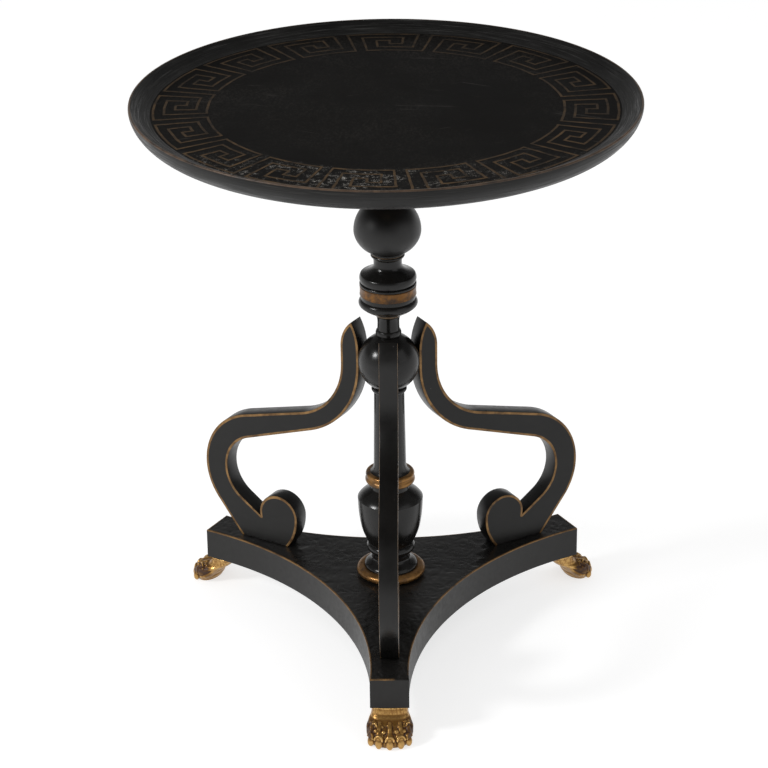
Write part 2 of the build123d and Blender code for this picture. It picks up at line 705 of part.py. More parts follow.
with BuildPart() as pivot_block:
    with BuildSketch(Plane.YZ.offset(-block_half)):
        with BuildLine():
            swing_radius = pivot_drop - swing_gap
            swing_start = (pivot_y, pivot_level + swing_radius)
            swing_end = (pivot_y + swing_radius, pivot_level)
            swing_middle = on_circle((pivot_y, pivot_level), swing_radius, 45)
            flat_end = (pivot_y - pivot_drop / 4, underside)
            Line((-block_half, block_bottom), (block_half, block_bottom))
            Line((block_half, block_bottom), swing_end)
            ThreePointArc(swing_end, swing_middle, swing_start)
            Line(swing_start, flat_end)
            Line(flat_end, (-block_half, underside))
            Line((-block_half, underside), (-block_half, block_bottom))
        make_face()
    extrude(amount=block_width)
    drill(Plane.XY.offset(underside), base_tenon_radius + glue_gap, block_height)
    for place in pivot_planes.values():
        drill(place, pivot_radius + glue_gap, pin_length + tenon_end_gap)
    drill(bolt_hole, bolt_hole_radius, bolt_reach + keeper_thickness)
    for place in keeper_screw_planes:
        drill(place, small_screw_radius + glue_gap, small_screw_length + tenon_end_gap)
save(pivot_block, "pivot_block")

for side, place in pivot_planes.items():
    save_round(f"pivot_pin_{side}", place, pin_length, pivot_radius)

with BuildPart() as keeper_plate:
    with Locations((0, keeper_face + keeper_thickness / 2, keeper_middle)):
        Box(keeper_width, keeper_thickness, keeper_height)
    drill(bolt_hole, bolt_hole_radius, keeper_thickness)
    for place in keeper_screw_planes:
        drill(place, small_screw_radius + glue_gap, keeper_thickness)
        sink(place, small_screw_radius, small_screw_head_radius + glue_gap, small_screw_head_height)
save(keeper_plate, "keeper_plate")

for number, place in enumerate(keeper_screw_planes, start=1):
    save_screw(f"keeper_screw_{number}", place, small_screw_length, small_screw_radius,
               small_screw_head_radius, small_screw_head_height)

# ---------------------------------------------------------------- round top and its bearers
bearer_middle = bearer_inner + bearer_thickness / 2
bearer_screw_length = bearer_depth - bearer_screw_recess + screw_bite
bearer_screw_planes = {}
for side, sign in (("right", 1), ("left", -1)):
    for number, along in enumerate(bearer_screw_places, start=1):
        head = (sign * bearer_middle, along, underside - bearer_depth + bearer_screw_recess)
        place = Plane(origin=head, z_dir=(0, 0, -1))
        bearer_screw_planes[f"bearer_screw_{side}_{number}"] = (side, place)
housing_screw_planes = [
    Plane(origin=(across * (housing_width + barrel_width) / 4, along, underside - plate_thickness),
          z_dir=(0, 0, -1))
    for across in (-1, 1)
    for along in (housing_front - housing_length * 0.15, housing_rear + housing_length * 0.15)
]

with BuildPart() as table_top:
    with BuildSketch(Plane.XZ):
        with BuildLine():
            edge_low = rim_level - rim_edge_height
            edge_inner = top_radius - rim_edge_width
            Line((0, underside), (underside_radius, underside))
            Spline((underside_radius, underside), (top_radius, edge_low),
                   tangents=((1, 0.25), (0.12, 1)))
            Line((top_radius, edge_low), (top_radius, rim_level))
            Line((top_radius, rim_level), (edge_inner, rim_level))
            Spline((edge_inner, rim_level), (field_radius, field_level),
                   tangents=((-1, -0.75), (-1, -0.12)))
            Line((field_radius, field_level), (0, field_level))
            Line((0, field_level), (0, underside))
        make_face()
    revolve(axis=Axis.Z)
    for side, place in bearer_screw_planes.values():
        drill(place, wood_screw_radius + glue_gap, bearer_screw_length + tenon_end_gap)
    for place in housing_screw_planes:
        drill(place, small_screw_radius + glue_gap, small_screw_length + tenon_end_gap)
save(table_top, "table_top")

for side, sign in (("right", 1), ("left", -1)):
    with BuildPart() as bearer:
        with BuildSketch(Plane.YZ.offset(sign * bearer_middle)):
            half = bearer_length / 2
            low = underside - bearer_depth
            with BuildLine():
                Polyline(
                    (-half, underside),
                    (half, underside),
                    (half, underside - bearer_end_depth),
                    (half - bearer_taper_length, low),
                    (bearer_taper_length - half, low),
                    (-half, underside - bearer_end_depth),
                    close=True,
                )
            make_face()
        extrude(amount=bearer_thickness / 2, both=True)
        pivot_hole = pivot_planes[side]
        drill(pivot_hole, pivot_radius + running_gap, bearer_thickness)
        for screw_side, place in bearer_screw_planes.values():
            if screw_side == side:
                drill(place.offset(bearer_screw_recess), wood_screw_head_radius + glue_gap,
                      bearer_screw_recess)
                drill(place, wood_screw_radius + glue_gap, bearer_depth)
                sink(place, wood_screw_radius, wood_screw_head_radius + glue_gap, wood_screw_head_height)
    save(bearer, f"bearer_{side}")

for name, (side, place) in bearer_screw_planes.items():
    save_screw(name, place, bearer_screw_length, wood_screw_radius,
               wood_screw_head_radius, wood_screw_head_height)

# ---------------------------------------------------------------- barrel bolt
knob_y = housing_rear + knob_stem_radius + 6
slot_start = knob_y - knob_stem_radius - 0.2
slot_end = knob_y + bolt_travel + knob_stem_radius + 0.2
housing_middle = (housing_front + housing_rear) / 2

with BuildPart() as bolt_housing:
    with Locations((0, housing_middle, underside)):
        Box(housing_width, housing_length, plate_thickness, align=FROM_TOP)
    with Locations((0, housing_middle, underside - plate_thickness)):
        Box(barrel_width, housing_length, barrel_depth, align=FROM_TOP)
    barrel_mouth = Plane(origin=(0, housing_rear, bolt_level), z_dir=(0, -1, 0))
    drill(barrel_mouth, bolt_radius + running_gap, housing_length)
    with Locations((0, (slot_start + slot_end) / 2, bolt_level)):
        Box(2 * knob_stem_radius + 0.4, slot_end - slot_start, 2 * barrel_depth,
            align=FROM_TOP, mode=Mode.SUBTRACT)
    for place in housing_screw_planes:
        drill(place, small_screw_radius + glue_gap, plate_thickness)
        sink(place, small_screw_radius, small_screw_head_radius + glue_gap, small_screw_head_height)
save(bolt_housing, "bolt_housing")

for number, place in enumerate(housing_screw_planes, start=1):
    save_screw(f"housing_screw_{number}", place, small_screw_length, small_screw_radius,
               small_screw_head_radius, small_screw_head_height)

with BuildPart() as slide_bolt:
    with Locations(Plane(origin=(0, bolt_tip, bolt_level), z_dir=(0, 1, 0)).location):
        Cylinder(bolt_radius, bolt_length, align=FROM_TOP)
    with Locations((0, knob_y, bolt_level)):
        Cylinder(knob_stem_radius, knob_drop, align=FROM_TOP)
    with Locations((0, knob_y, bolt_level - knob_drop)):
        Sphere(knob_radius)
save(slide_bolt, "slide_bolt")
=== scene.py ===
import bmesh
import bpy
from math import acos, atan2, cos, degrees, hypot, pi, radians, sin, sqrt
from mathutils import Matrix, Vector, noise
from mathutils.geometry import delaunay_2d_cdt
from mathutils.kdtree import KDTree


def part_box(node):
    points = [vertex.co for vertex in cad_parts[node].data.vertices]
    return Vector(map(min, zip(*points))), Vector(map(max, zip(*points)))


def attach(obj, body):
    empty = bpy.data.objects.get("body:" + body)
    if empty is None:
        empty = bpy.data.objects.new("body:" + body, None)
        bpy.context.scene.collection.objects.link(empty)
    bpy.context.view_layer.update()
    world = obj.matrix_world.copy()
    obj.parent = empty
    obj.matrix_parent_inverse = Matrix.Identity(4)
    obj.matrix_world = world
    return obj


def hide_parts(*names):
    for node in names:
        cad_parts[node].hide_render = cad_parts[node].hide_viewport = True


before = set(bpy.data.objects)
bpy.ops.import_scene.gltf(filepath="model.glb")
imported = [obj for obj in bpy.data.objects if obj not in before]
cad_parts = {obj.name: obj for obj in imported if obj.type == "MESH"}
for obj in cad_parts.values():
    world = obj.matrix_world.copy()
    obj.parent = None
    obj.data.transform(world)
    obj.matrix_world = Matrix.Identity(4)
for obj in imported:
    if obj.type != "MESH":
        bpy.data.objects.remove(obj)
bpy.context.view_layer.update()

# ---------------------------------------------------------------- plinth
# A three-cornered board with hollow sides, sawn to shape, ebonised and gilt along its upper
# edge. The thick black finish has drawn up into small wrinkles all over its top.
corner_turns = {"front": radians(270), "right": radians(30), "left": radians(150)}
corner_reach = 0.246
corner_width = 0.0434
side_distance = 0.0825
plinth_low, plinth_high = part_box("plinth")[0].z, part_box("plinth")[1].z
plinth_easing = 0.0007
plinth_line_width = 0.0008
rubbed_spot = (0.0165, -corner_reach, plinth_high)
wrinkle_length = 0.0074
wrinkle_height = 0.00055
wrinkle_spacing = 0.0017


def outward(turn, reach, level=0.0, aside=0.0):
    """Point at a reach from the pillar's axis, and aside of the radius to its left."""
    return Vector((reach * cos(turn) - aside * sin(turn),
                   reach * sin(turn) + aside * cos(turn), level))


def on_circle(centre, radius, angle):
    """Point on a circle at an angle in degrees."""
    turn = radians(angle)
    return Vector((centre[0] + radius * cos(turn), centre[1] + radius * sin(turn)))


def arc(centre, radius, start, end, spacing=0.002):
    """Points along an arc between two angles in degrees, both ends included."""
    steps = max(3, int(abs(radians(end - start)) * radius / spacing))
    return [on_circle(centre, radius, start + (end - start) * i / steps) for i in range(steps + 1)]


def arc_through(first, middle, last, spacing=0.003):
    """Points along the circular arc through three points, without its two ends."""
    a, b = middle - first, last - first
    cross = 2 * (a.x * b.y - a.y * b.x)
    centre = first + Vector((b.y * a.length_squared - a.y * b.length_squared,
                             a.x * b.length_squared - b.x * a.length_squared)) / cross
    start = atan2(*(first - centre).yx)
    sweep = (atan2(*(last - centre).yx) - start + pi) % (2 * pi) - pi
    points = arc(centre, (first - centre).length, degrees(start), degrees(start + sweep), spacing)
    return points[1:-1]


def inset(loop, distance):
    """A closed outline, drawn counter-clockwise, moved inwards by an even distance."""
    mitre_limit = 0.3
    moved = []
    for before, here, after in zip(loop[-1:] + loop[:-1], loop, loop[1:] + loop[:1]):
        normals = [Vector((-way.y, way.x)).normalized() for way in (here - before, after - here)]
        mitre = (normals[0] + normals[1]).normalized()
        moved.append(here + mitre * distance / max(mitre_limit, mitre.dot(normals[0])))
    return moved


def wall(mesh, low, high, band):
    """Faces of one material between two loops of points, the lower loop first."""
    for i in range(len(low)):
        j = (i + 1) % len(low)
        mesh.faces.new((low[i], low[j], high[j], high[i])).material_index = band


def board(rings, place, closed_foot=True):
    """The walls of a board from rings of (outline, height, material of the band above it)."""
    mesh = bmesh.new()
    loops = [[mesh.verts.new(place(p.x, p.y, height)) for p in outline]
             for outline, height, _ in rings]
    for low, high, (_, _, band) in zip(loops, loops[1:], rings):
        wall(mesh, low, high, band)
    if closed_foot:
        mesh.faces.new(loops[0][::-1])
    return mesh, loops


def dots_inside(loop, spacing):
    """Staggered dots that fill a closed outline."""
    dots = []
    rise = spacing * 0.866
    lowest, highest = min(p.y for p in loop), max(p.y for p in loop)
    for row in range(int(lowest / rise) - 1, int(highest / rise) + 2):
        level = row * rise + 1e-6
        crossings = sorted(
            a.x + (level - a.y) * (b.x - a.x) / (b.y - a.y)
            for a, b in zip(loop, loop[1:] + loop[:1]) if (a.y > level) != (b.y > level)
        )
        for start, end in zip(crossings[::2], crossings[1::2]):
            column = int(start / spacing) - 1
            while (column + 0.5 * (row % 2)) * spacing < end:
                across = (column + 0.5 * (row % 2)) * spacing
                if across > start:
                    dots.append(Vector((across, level)))
                column += 1
    return dots


def triangles(loop, dots):
    """Anticlockwise triangles between a closed outline and the dots inside it."""
    rim = [(i, (i + 1) % len(loop)) for i in range(len(loop))]
    flat, _, faces, _, _, _ = delaunay_2d_cdt(loop + dots, rim, [], 1, 1e-7)
    return [(a, b, c) if (flat[b] - flat[a]).cross(flat[c] - flat[a]) > 0 else (a, c, b)
            for a, b, c in faces]


def in_scene(name, data):
    """The scene's own object for a mesh, a lamp or the camera."""
    made = bpy.data.objects.new(name, data)
    bpy.context.scene.collection.objects.link(made)
    return made


def shown(mesh, name, materials, body, crease=35):
    """The finished mesh as a piece of the table, smooth but for edges sharper than the crease."""
    data = bpy.data.meshes.new(name)
    mesh.to_mesh(data)
    mesh.free()
    for material in materials:
        data.materials.append(material)
    data.shade_smooth()
    data.set_sharp_from_angle(angle=radians(crease))
    piece = in_scene(name, data)
    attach(piece, body)
    return piece


def node(tree, kind, inputs=None, **settings):
    """One node, with its settings and with its inputs either typed in or linked."""
    made = tree.nodes.new(kind)
    for key, value in settings.items():
        setattr(made, key, value)
    for key, value in (inputs or {}).items():
        if isinstance(value, bpy.types.NodeSocket):
            tree.links.new(value, made.inputs[key])
        else:
            made.inputs[key].default_value = value
    return made


def new_finish(name):
    """An empty material: its node tree, its shader and the object's own coordinates."""
    material = bpy.data.materials.new(name)
    material.use_nodes = True
    tree = material.node_tree
    here = node(tree, "ShaderNodeTexCoord").outputs["Object"]
    return material, tree, tree.nodes["Principled BSDF"], here


def reopened(material):
    """A finish taken up again: its tree, its shader, the coordinates and its colour so far."""
    tree = material.node_tree
    shader = tree.nodes["Principled BSDF"]
    here = node(tree, "ShaderNodeTexCoord").outputs["Object"]
    return tree, shader, here, shader.inputs["Base Color"].links[0].from_socket


def noise_at(tree, where, scale, detail=3.0, roughness=0.55, stretch=None):
    """Noise on the object's coordinates, in waves per metre, stretched where asked."""
    if stretch:
        stretched = node(tree, "ShaderNodeMapping", {"Vector": where, "Scale": stretch})
        where = stretched.outputs["Vector"]
    return node(tree, "ShaderNodeTexNoise", {
        "Vector": where, "Scale": scale, "Detail": detail, "Roughness": roughness,
    }).outputs["Fac"]


def between(tree, value, low, high, to_low=0.0, to_high=1.0):
    """A value brought from one range to another, and kept inside it."""
    return node(tree, "ShaderNodeMapRange", {
        "Value": value, "From Min": low, "From Max": high, "To Min": to_low, "To Max": to_high,
    }).outputs["Result"]


def blend(tree, amount, first, second):
    """Two colours mixed by an amount."""
    mixed = node(tree, "ShaderNodeMix", data_type="RGBA")
    for key, value in (("Factor_Float", amount), ("A_Color", first), ("B_Color", second)):
        socket = next(s for s in mixed.inputs if s.identifier == key)
        if isinstance(value, bpy.types.NodeSocket):
            tree.links.new(value, socket)
        else:
            socket.default_value = value
    return next(s for s in mixed.outputs if s.identifier == "Result_Color")


def coloured(tree, shader, amount, first, second):
    """Gives a shader two colours, mixed by an amount."""
    tree.links.new(blend(tree, amount, first, second), shader.inputs["Base Color"])


def roughened(tree, shader, strength, depth, height):
    """Gives a shader fine unevenness."""
    bump = node(tree, "ShaderNodeBump", {"Strength": strength, "Distance": depth, "Height": height})
    tree.links.new(bump.outputs["Normal"], shader.inputs["Normal"])


def worked(tree, operation, first, second=0.0):
    """One step of arithmetic on one or two numbers."""
    return node(tree, "ShaderNodeMath", {0: first, 1: second}, operation=operation).outputs[0]


def product(tree, first, second):
    """Two numbers multiplied."""
    return worked(tree, "MULTIPLY", first, second)


def total(tree, first, second):
    """Two numbers added."""
    return worked(tree, "ADD", first, second)


def black_finish(name, tone, gloss, specks, level, grain=(1, 1, 1), ripple=0.05):
    """Ebonised wood: black stain under worn satin lacquer, with rubbed patches and dust specks."""
    material, tree, shader, here = new_finish(name)
    clouds = noise_at(tree, here, 14, 4, 0.6)
    fine = noise_at(tree, here, 170, 4, 0.6, grain)
    deep = (tone * 0.75, tone * 0.70, tone * 0.64, 1)
    rubbed = (tone * 1.7, tone * 1.62, tone * 1.52, 1)
    colour = blend(tree, between(tree, clouds, 0.35, 0.75), deep, rubbed)
    dots = node(tree, "ShaderNodeTexVoronoi", {"Vector": here, "Scale": 120.0, "Randomness": 1.0})
    near = between(tree, dots.outputs["Distance"], 0.06, 0.11, 1, 0)
    chosen = product(tree, near, between(tree, noise_at(tree, here, 60, 2), 0.62, 0.68))
    coloured(tree, shader, product(tree, chosen, specks), colour, (0.16, 0.15, 0.14, 1))
    wear = total(tree, between(tree, fine, 0.3, 0.8), between(tree, clouds, 0.3, 0.8))
    tree.links.new(between(tree, wear, 0.2, 1.4, *gloss), shader.inputs["Roughness"])
    shader.inputs["Specular IOR Level"].default_value = level
    waves = total(tree, noise_at(tree, here, 45, 2), product(tree, fine, 0.12))
    roughened(tree, shader, ripple, 0.002, waves)
    return material


def gold_finish(name, bright, dull, bare, worn, metal=0.55, gloss=(0.34, 0.6), scale=55, level=0.3):
    """Antique gilding: leaf toned down with varnish, streaked, and rubbed to the dark ground."""
    material, tree, shader, here = new_finish(name)
    streaks = noise_at(tree, here, scale, 5, 0.65)
    patches = noise_at(tree, here, scale * 0.45, 5, 0.7)
    leaf = blend(tree, between(tree, streaks, 0.3, 0.7), (*dull, 1), (*bright, 1))
    rubbed = between(tree, patches, *worn)
    coloured(tree, shader, rubbed, leaf, (*bare, 1))
    tree.links.new(between(tree, rubbed, 0, 1, metal, 0.0), shader.inputs["Metallic"])
    tree.links.new(between(tree, streaks, 0.3, 0.75, *gloss), shader.inputs["Roughness"])
    shader.inputs["Specular IOR Level"].default_value = level
    roughened(tree, shader, 0.12, 0.001, noise_at(tree, here, 420, 3))
    return material


black_board = black_finish("black_board", tone=0.010, gloss=(0.36, 0.52), specks=0.45, level=0.36)
black_wrinkled = black_finish("black_wrinkled", tone=0.0075, gloss=(0.24, 0.36), specks=0.4,
                              ripple=0.12, level=0.45)
gilt_line = gold_finish("gilt_line", (0.29, 0.165, 0.065), (0.13, 0.070, 0.028),
                        (0.016, 0.012, 0.009), (0.50, 0.66))
tree, shader, here, leaf = reopened(gilt_line)
away = node(tree, "ShaderNodeVectorMath", {0: here, 1: rubbed_spot}, operation="DISTANCE")
rubbed_away = between(tree, away.outputs["Value"], 0.0095, 0.0120, 1, 0)
coloured(tree, shader, rubbed_away, leaf, (0.010, 0.009, 0.008, 1))

outline = []
for turn in corner_turns.values():
    near_end, far_end = [outward(turn, corner_reach, 0, s * corner_width / 2).xy for s in (-1, 1)]
    hollow = outward(turn + radians(60), side_distance).xy
    next_end = outward(turn + radians(120), corner_reach, 0, -corner_width / 2).xy
    straight = [near_end.lerp(far_end, i / 16) for i in range(17)]
    outline += straight + arc_through(far_end, hollow, next_end)

soft_arris = 0.3 * plinth_easing
rings = [
    (inset(outline, plinth_easing), plinth_low, 0),
    (outline, plinth_low + plinth_easing, 0),
    (outline, plinth_high - plinth_easing - plinth_line_width, 1),
    (outline, plinth_high - plinth_easing, 1),
    (inset(outline, soft_arris), plinth_high - soft_arris, 1),
    (inset(outline, plinth_easing), plinth_high, 1),
    (inset(outline, plinth_easing + plinth_line_width), plinth_high, 2),
]
mesh, loops = board(rings, lambda x, y, height: Vector((x, y, height)))
edge = [vert.co.xy for vert in loops[-1]]
dots = dots_inside(inset(edge, wrinkle_spacing * 0.7), wrinkle_spacing)
verts = list(loops[-1])
noise.seed_set(1)
for dot in dots:
    here = Vector((dot.x, dot.y, 0.0)) / wrinkle_length
    swirl = here + 0.9 * noise.noise_vector(here * 0.45)
    ridge = 1 - abs(noise.noise(swirl)) * 2.2
    soft = noise.noise(here * 0.5 + Vector((7, 3, 1)))
    rise = wrinkle_height * (0.55 * ridge + 0.5 * soft - 0.45)
    verts.append(mesh.verts.new((dot.x, dot.y, plinth_high + rise)))
for corners in triangles(edge, dots):
    mesh.faces.new([verts[i] for i in corners]).material_index = 2
plinth = shown(mesh, "ebonised_plinth", [black_board, gilt_line, black_wrinkled], "stand")
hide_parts("plinth")

# ---------------------------------------------------------------- lion's paws
# Cast in brass, chased and gilt, then toned with brown varnish that lies in the hollows. The
# proud parts are burnished bright and also carry a painted highlight; painted shade darkens the
# paw's sides, painted light brightens the cuff, and dark streaks of painted reflection run down
# the cuff. A stud fixes each under a corner: a smooth cuff, then knobs and curls of hair and
# five toes.
pad_reach = 0.257
paw_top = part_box("paw_front")[1].z
toe_fan = radians(130)
toe_arc = (0.0140, 0.0212)
paw_voxel = 0.0005
varnish_depth = 0.0009
gilt_carving, tree, shader, here = new_finish("gilt_carving")
# the hollow value carries the varnish depth together with painted shade on the paw's sides and
# painted light on the cuff
hollow = node(tree, "ShaderNodeAttribute", attribute_name="hollow").outputs["Fac"]
mottle = noise_at(tree, here, 240, 5, 0.65)
# proud parts take the bright colour: burnished gilding, and a painted highlight as well
proud_and_painted_highlight = between(tree, hollow, 0.45, 0.10)
gold = blend(tree, between(tree, mottle, 0.3, 0.72), (0.19, 0.088, 0.018, 1),
             (0.38, 0.200, 0.046, 1))
leaf = blend(tree, proud_and_painted_highlight, gold, (0.80, 0.50, 0.18, 1))
# dark vertical streaks over the upper paw and cuff: painted reflection of the surroundings in the
# gilding
streaks = between(tree, noise_at(tree, here, 560, 3, 0.6, (1, 1, 0.3)), 0.42, 0.60, 0, 0.85)
level = node(tree, "ShaderNodeSeparateXYZ", {"Vector": here}).outputs["Z"]
streaks = product(tree, streaks, between(tree, level, paw_top * 0.60, paw_top * 0.74))
leaf = blend(tree, streaks, leaf, (0.26, 0.125, 0.036, 1))
# the varnish in the hollows, together with the painted shade and painted light that the hollow value
# carries
glaze_and_painted_shade = total(tree, hollow, between(tree, mottle, 0.2, 0.8, -0.10, 0.12))
glaze_and_painted_shade = between(tree, glaze_and_painted_shade, 0.46, 0.74)
coloured(tree, shader, glaze_and_painted_shade, leaf, (0.060, 0.024, 0.009, 1))
tree.links.new(between(tree, glaze_and_painted_shade, 0, 1, 0.68, 0.1), shader.inputs["Metallic"])
shader.inputs["Specular IOR Level"].default_value = 0.3
polish = total(tree, between(tree, mottle, 0.3, 0.75, 0, 0.12),
               between(tree, hollow, 0.15, 0.42, 0.13, 0.34))
tree.links.new(polish, shader.inputs["Roughness"])
roughened(tree, shader, 0.10, 0.001, noise_at(tree, here, 700, 3))

ball = bmesh.new()
bmesh.ops.create_icosphere(ball, subdivisions=3, radius=1)
ball_points = [vert.co.copy() for vert in ball.verts]
ball_faces = [[vert.index for vert in face.verts] for face in ball.faces]
ball.free()
carving_points, carving_faces = [], []


def lump(reach, aside, level, radii, turn=0.0, lean=0.0):
    """One rounded lump of the carving, with its radii outwards, across and upwards."""
    place = Matrix.Translation((reach, aside, level)) @ Matrix.Rotation(turn, 4, "Z")
    place = place @ Matrix.Rotation(lean, 4, "Y") @ Matrix.Diagonal((*radii, 1))
    first = len(carving_points)
    carving_points.extend(place @ point for point in ball_points)
    carving_faces.extend([first + i for i in face] for face in ball_faces)


def lock(points, thick, thin):
    """A lock of hair: a strand that tapers along a path through its points."""
    for a, b, i in zip(points, points[1:], range(len(points))):
        steps = max(1, int((Vector(b) - Vector(a)).length / (0.4 * thin)))
        for step in range(steps):
            size = thick + (thin - thick) * (i + step / steps) / (len(points) - 1)
            lump(*Vector(a).lerp(Vector(b), step / steps), (size, size, size))


# share of the height, middle's reach, half length, half width, squareness of the section
paw_sections = (
    (-0.03, 0.2575, 0.0120, 0.0195, 2.0), (0.16, 0.2568, 0.0146, 0.0232, 2.0),
    (0.34, 0.2548, 0.0160, 0.0258, 2.1), (0.48, 0.2508, 0.0162, 0.0260, 2.2),
    (0.59, 0.2440, 0.0150, 0.0236, 2.5), (0.68, 0.2372, 0.0134, 0.0210, 3.0),
    (0.78, 0.2338, 0.0130, 0.0202, 3.4), (0.90, 0.2325, 0.0133, 0.0204, 3.6),
    (1.00, 0.2320, 0.0139, 0.0211, 3.8),
)


def section_at(share):
    """The paw's outline at a share of its height: middle, half length, half width, squareness."""
    index = max(i for i, section in enumerate(paw_sections[:-1]) if section[0] <= share + 1e-9)
    low, high = paw_sections[index], paw_sections[index + 1]
    step = (share - low[0]) / (high[0] - low[0])
    return [a + (b - a) * step * step * (3 - 2 * step) for a, b in zip(low[1:], high[1:])]


def on_paw(share, turn, out=0.0):
    """A point on the paw's skin, or a little out from it, at a turn from straight ahead."""
    reach, long, wide, power = section_at(share)
    c, s = cos(turn), sin(turn)
    return (reach + (long + out) * abs(c) ** (2 / power) * (1 if c > 0 else -1),
            (wide + out) * abs(s) ** (2 / power) * (1 if s > 0 else -1), share * paw_top)


def skin(rings):
    """Closes a row of rings into one solid lump of the carving."""
    first, count = len(carving_points), len(rings[0])
    for ring in rings:
        carving_points.extend(Vector(point) for point in ring)
    for row in range(len(rings) - 1):
        low = first + row * count
        for i in range(count):
            j = (i + 1) % count
            carving_faces.append([low + i, low + j, low + count + j, low + count + i])
    carving_faces.append([first + i for i in range(count)][::-1])
    carving_faces.append([len(carving_points) - count + i for i in range(count)])


skin([[on_paw(-0.03 + 1.03 * level / 40, 2 * pi * i / 72) for i in range(72)]
      for level in range(41)])
# reach, lowest level, highest level, half width: the heel that runs back into a tongue
heel_sections = (
    (0.2610, 0.0005, 0.0150, 0.0225), (0.2560, -0.0006, 0.0170, 0.0250),
    (0.2505, 0.0006, 0.0190, 0.0254), (0.2455, 0.0040, 0.0215, 0.0246),
    (0.2410, 0.0100, 0.0245, 0.0228), (0.2365, 0.0170, 0.0285, 0.0203),
    (0.2315, 0.0236, 0.0340, 0.0176), (0.2250, 0.0290, 0.0385, 0.0142),
    (0.2160, 0.0326, 0.0385, 0.0112), (0.2080, 0.0348, 0.0380, 0.0085),
)
heel = []
heel_turns = [2 * pi * i / 48 for i in range(48)]
for first, last in zip(heel_sections, heel_sections[1:]):
    for step in range(4):
        reach, low, high, wide = [a + (b - a) * step / 4 for a, b in zip(first, last)]
        heel.append([(reach, wide * cos(turn), (low + high) / 2 + (high - low) / 2 * sin(turn))
                     for turn in heel_turns])
skin(heel)

# a toe's long lump, its knuckle and its nail: how far on, level, radii and lean
toe_lumps = (
    (-0.0050, 0.0108, (0.0090, 0.0050, 0.0078), 0.0),
    (-0.0006, 0.0116, (0.0046, 0.0052, 0.0051), 0.0),
    (0.0014, 0.0066, (0.0042, 0.0043, 0.0070), radians(-10)),
)
for number in range(5):
    turn = toe_fan * (number / 4 - 0.5)
    away = atan2(sin(turn) / toe_arc[1], cos(turn) / toe_arc[0])
    out, left = cos(away), sin(away)
    reach, aside = pad_reach + toe_arc[0] * cos(turn), toe_arc[1] * sin(turn)
    for further, level, radii, lean in toe_lumps:
        lump(reach + further * out, aside + further * left, level, radii, away, lean)
    # the fold of skin over the nail
    for step in range(15):
        angle = radians(8 + 164 * step / 14)
        across, rise = 0.0046 * cos(angle), 0.0048 * sin(angle)
        forward, size = 0.0034 - 0.0018 * sin(angle), 0.0009 + 0.0008 * sin(angle)
        lump(reach + forward * out - across * left, aside + forward * left + across * out,
             0.0104 + rise, (size, size, size))

# sinews that run up from the toes under the cuff
for number in range(5):
    turn = toe_fan * 0.86 * (number / 4 - 0.5)
    lock([on_paw(0.42, turn, -0.0012), on_paw(0.52, turn * 0.97, -0.0013),
          on_paw(0.62, turn * 0.9, -0.0022)], 0.0032, 0.0024)

# knobs of hair in three uneven rows: share of the height, count, spread and size
for share, count, spread, size in (
    (0.605, 7, 128, 0.0016), (0.555, 9, 150, 0.0019), (0.490, 8, 166, 0.0024),
):
    for number in range(count):
        jitter = (number * 0.618 + share * 7) % 1 - 0.5
        turn = radians(spread) * ((number + 0.3 * jitter) / (count - 1) - 0.5)
        wide = size * (1 + 0.3 * jitter)
        sunk = 0.0002 + 0.0022 * (turn / 1.45) ** 2
        lump(*on_paw(share + 0.02 * jitter, turn, -sunk), (wide, wide * 1.15, wide * 0.95), turn,
             radians(-40))
# points of hair between the toes
for number in range(4):
    turn = toe_fan * 0.75 * (number / 3 - 0.5)
    lock([on_paw(0.48, turn, -0.0002), on_paw(0.40, turn, 0.0010), on_paw(0.29, turn, 0.0010)],
         0.0009, 0.0017)
# two fuller curls
for turn in (-0.66, 0.88):
    knot = Vector(on_paw(0.59, turn, 0.0010))
    across = Vector((-sin(turn), cos(turn), 0))
    lump(*knot, (0.0012, 0.0012, 0.0012))
    lock([knot + across * 0.0028 * cos(radians(a)) + Vector((0.0010, 0, 0.0030 * sin(radians(a))))
          for a in range(0, 350, 35)], 0.0011, 0.0009)

data = bpy.data.meshes.new("carving")
data.from_pydata(carving_points, [], carving_faces)
rough = in_scene("carving", data)
remesh = rough.modifiers.new("one_skin", "REMESH")
remesh.mode, remesh.voxel_size = "VOXEL", paw_voxel
soften = rough.modifiers.new("soften", "SMOOTH")
soften.factor, soften.iterations = 0.5, 3
smooth = rough.evaluated_get(bpy.context.evaluated_depsgraph_get())
carved = bpy.data.meshes.new_from_object(smooth)
bpy.data.objects.remove(rough)

# how deep each point lies under the smoothed carving, for the varnish in the hollows
mesh = bmesh.new()
mesh.from_mesh(carved)
for vert in mesh.verts:
    vert.co.z = min(max(vert.co.z, 0.0), paw_top)
mesh.to_mesh(carved)
mesh.normal_update()
before = [vert.co.copy() for vert in mesh.verts]
normals = [vert.normal.copy() for vert in mesh.verts]
for _ in range(14):
    bmesh.ops.smooth_vert(mesh, verts=mesh.verts, factor=0.6,
                          use_axis_x=True, use_axis_y=True, use_axis_z=True)
depths = [(vert.co - start).dot(normal) for vert, start, normal in zip(mesh.verts, before, normals)]
mesh.free()


def kept(value):
    """A share kept between none and all."""
    return max(0, min(1, value))


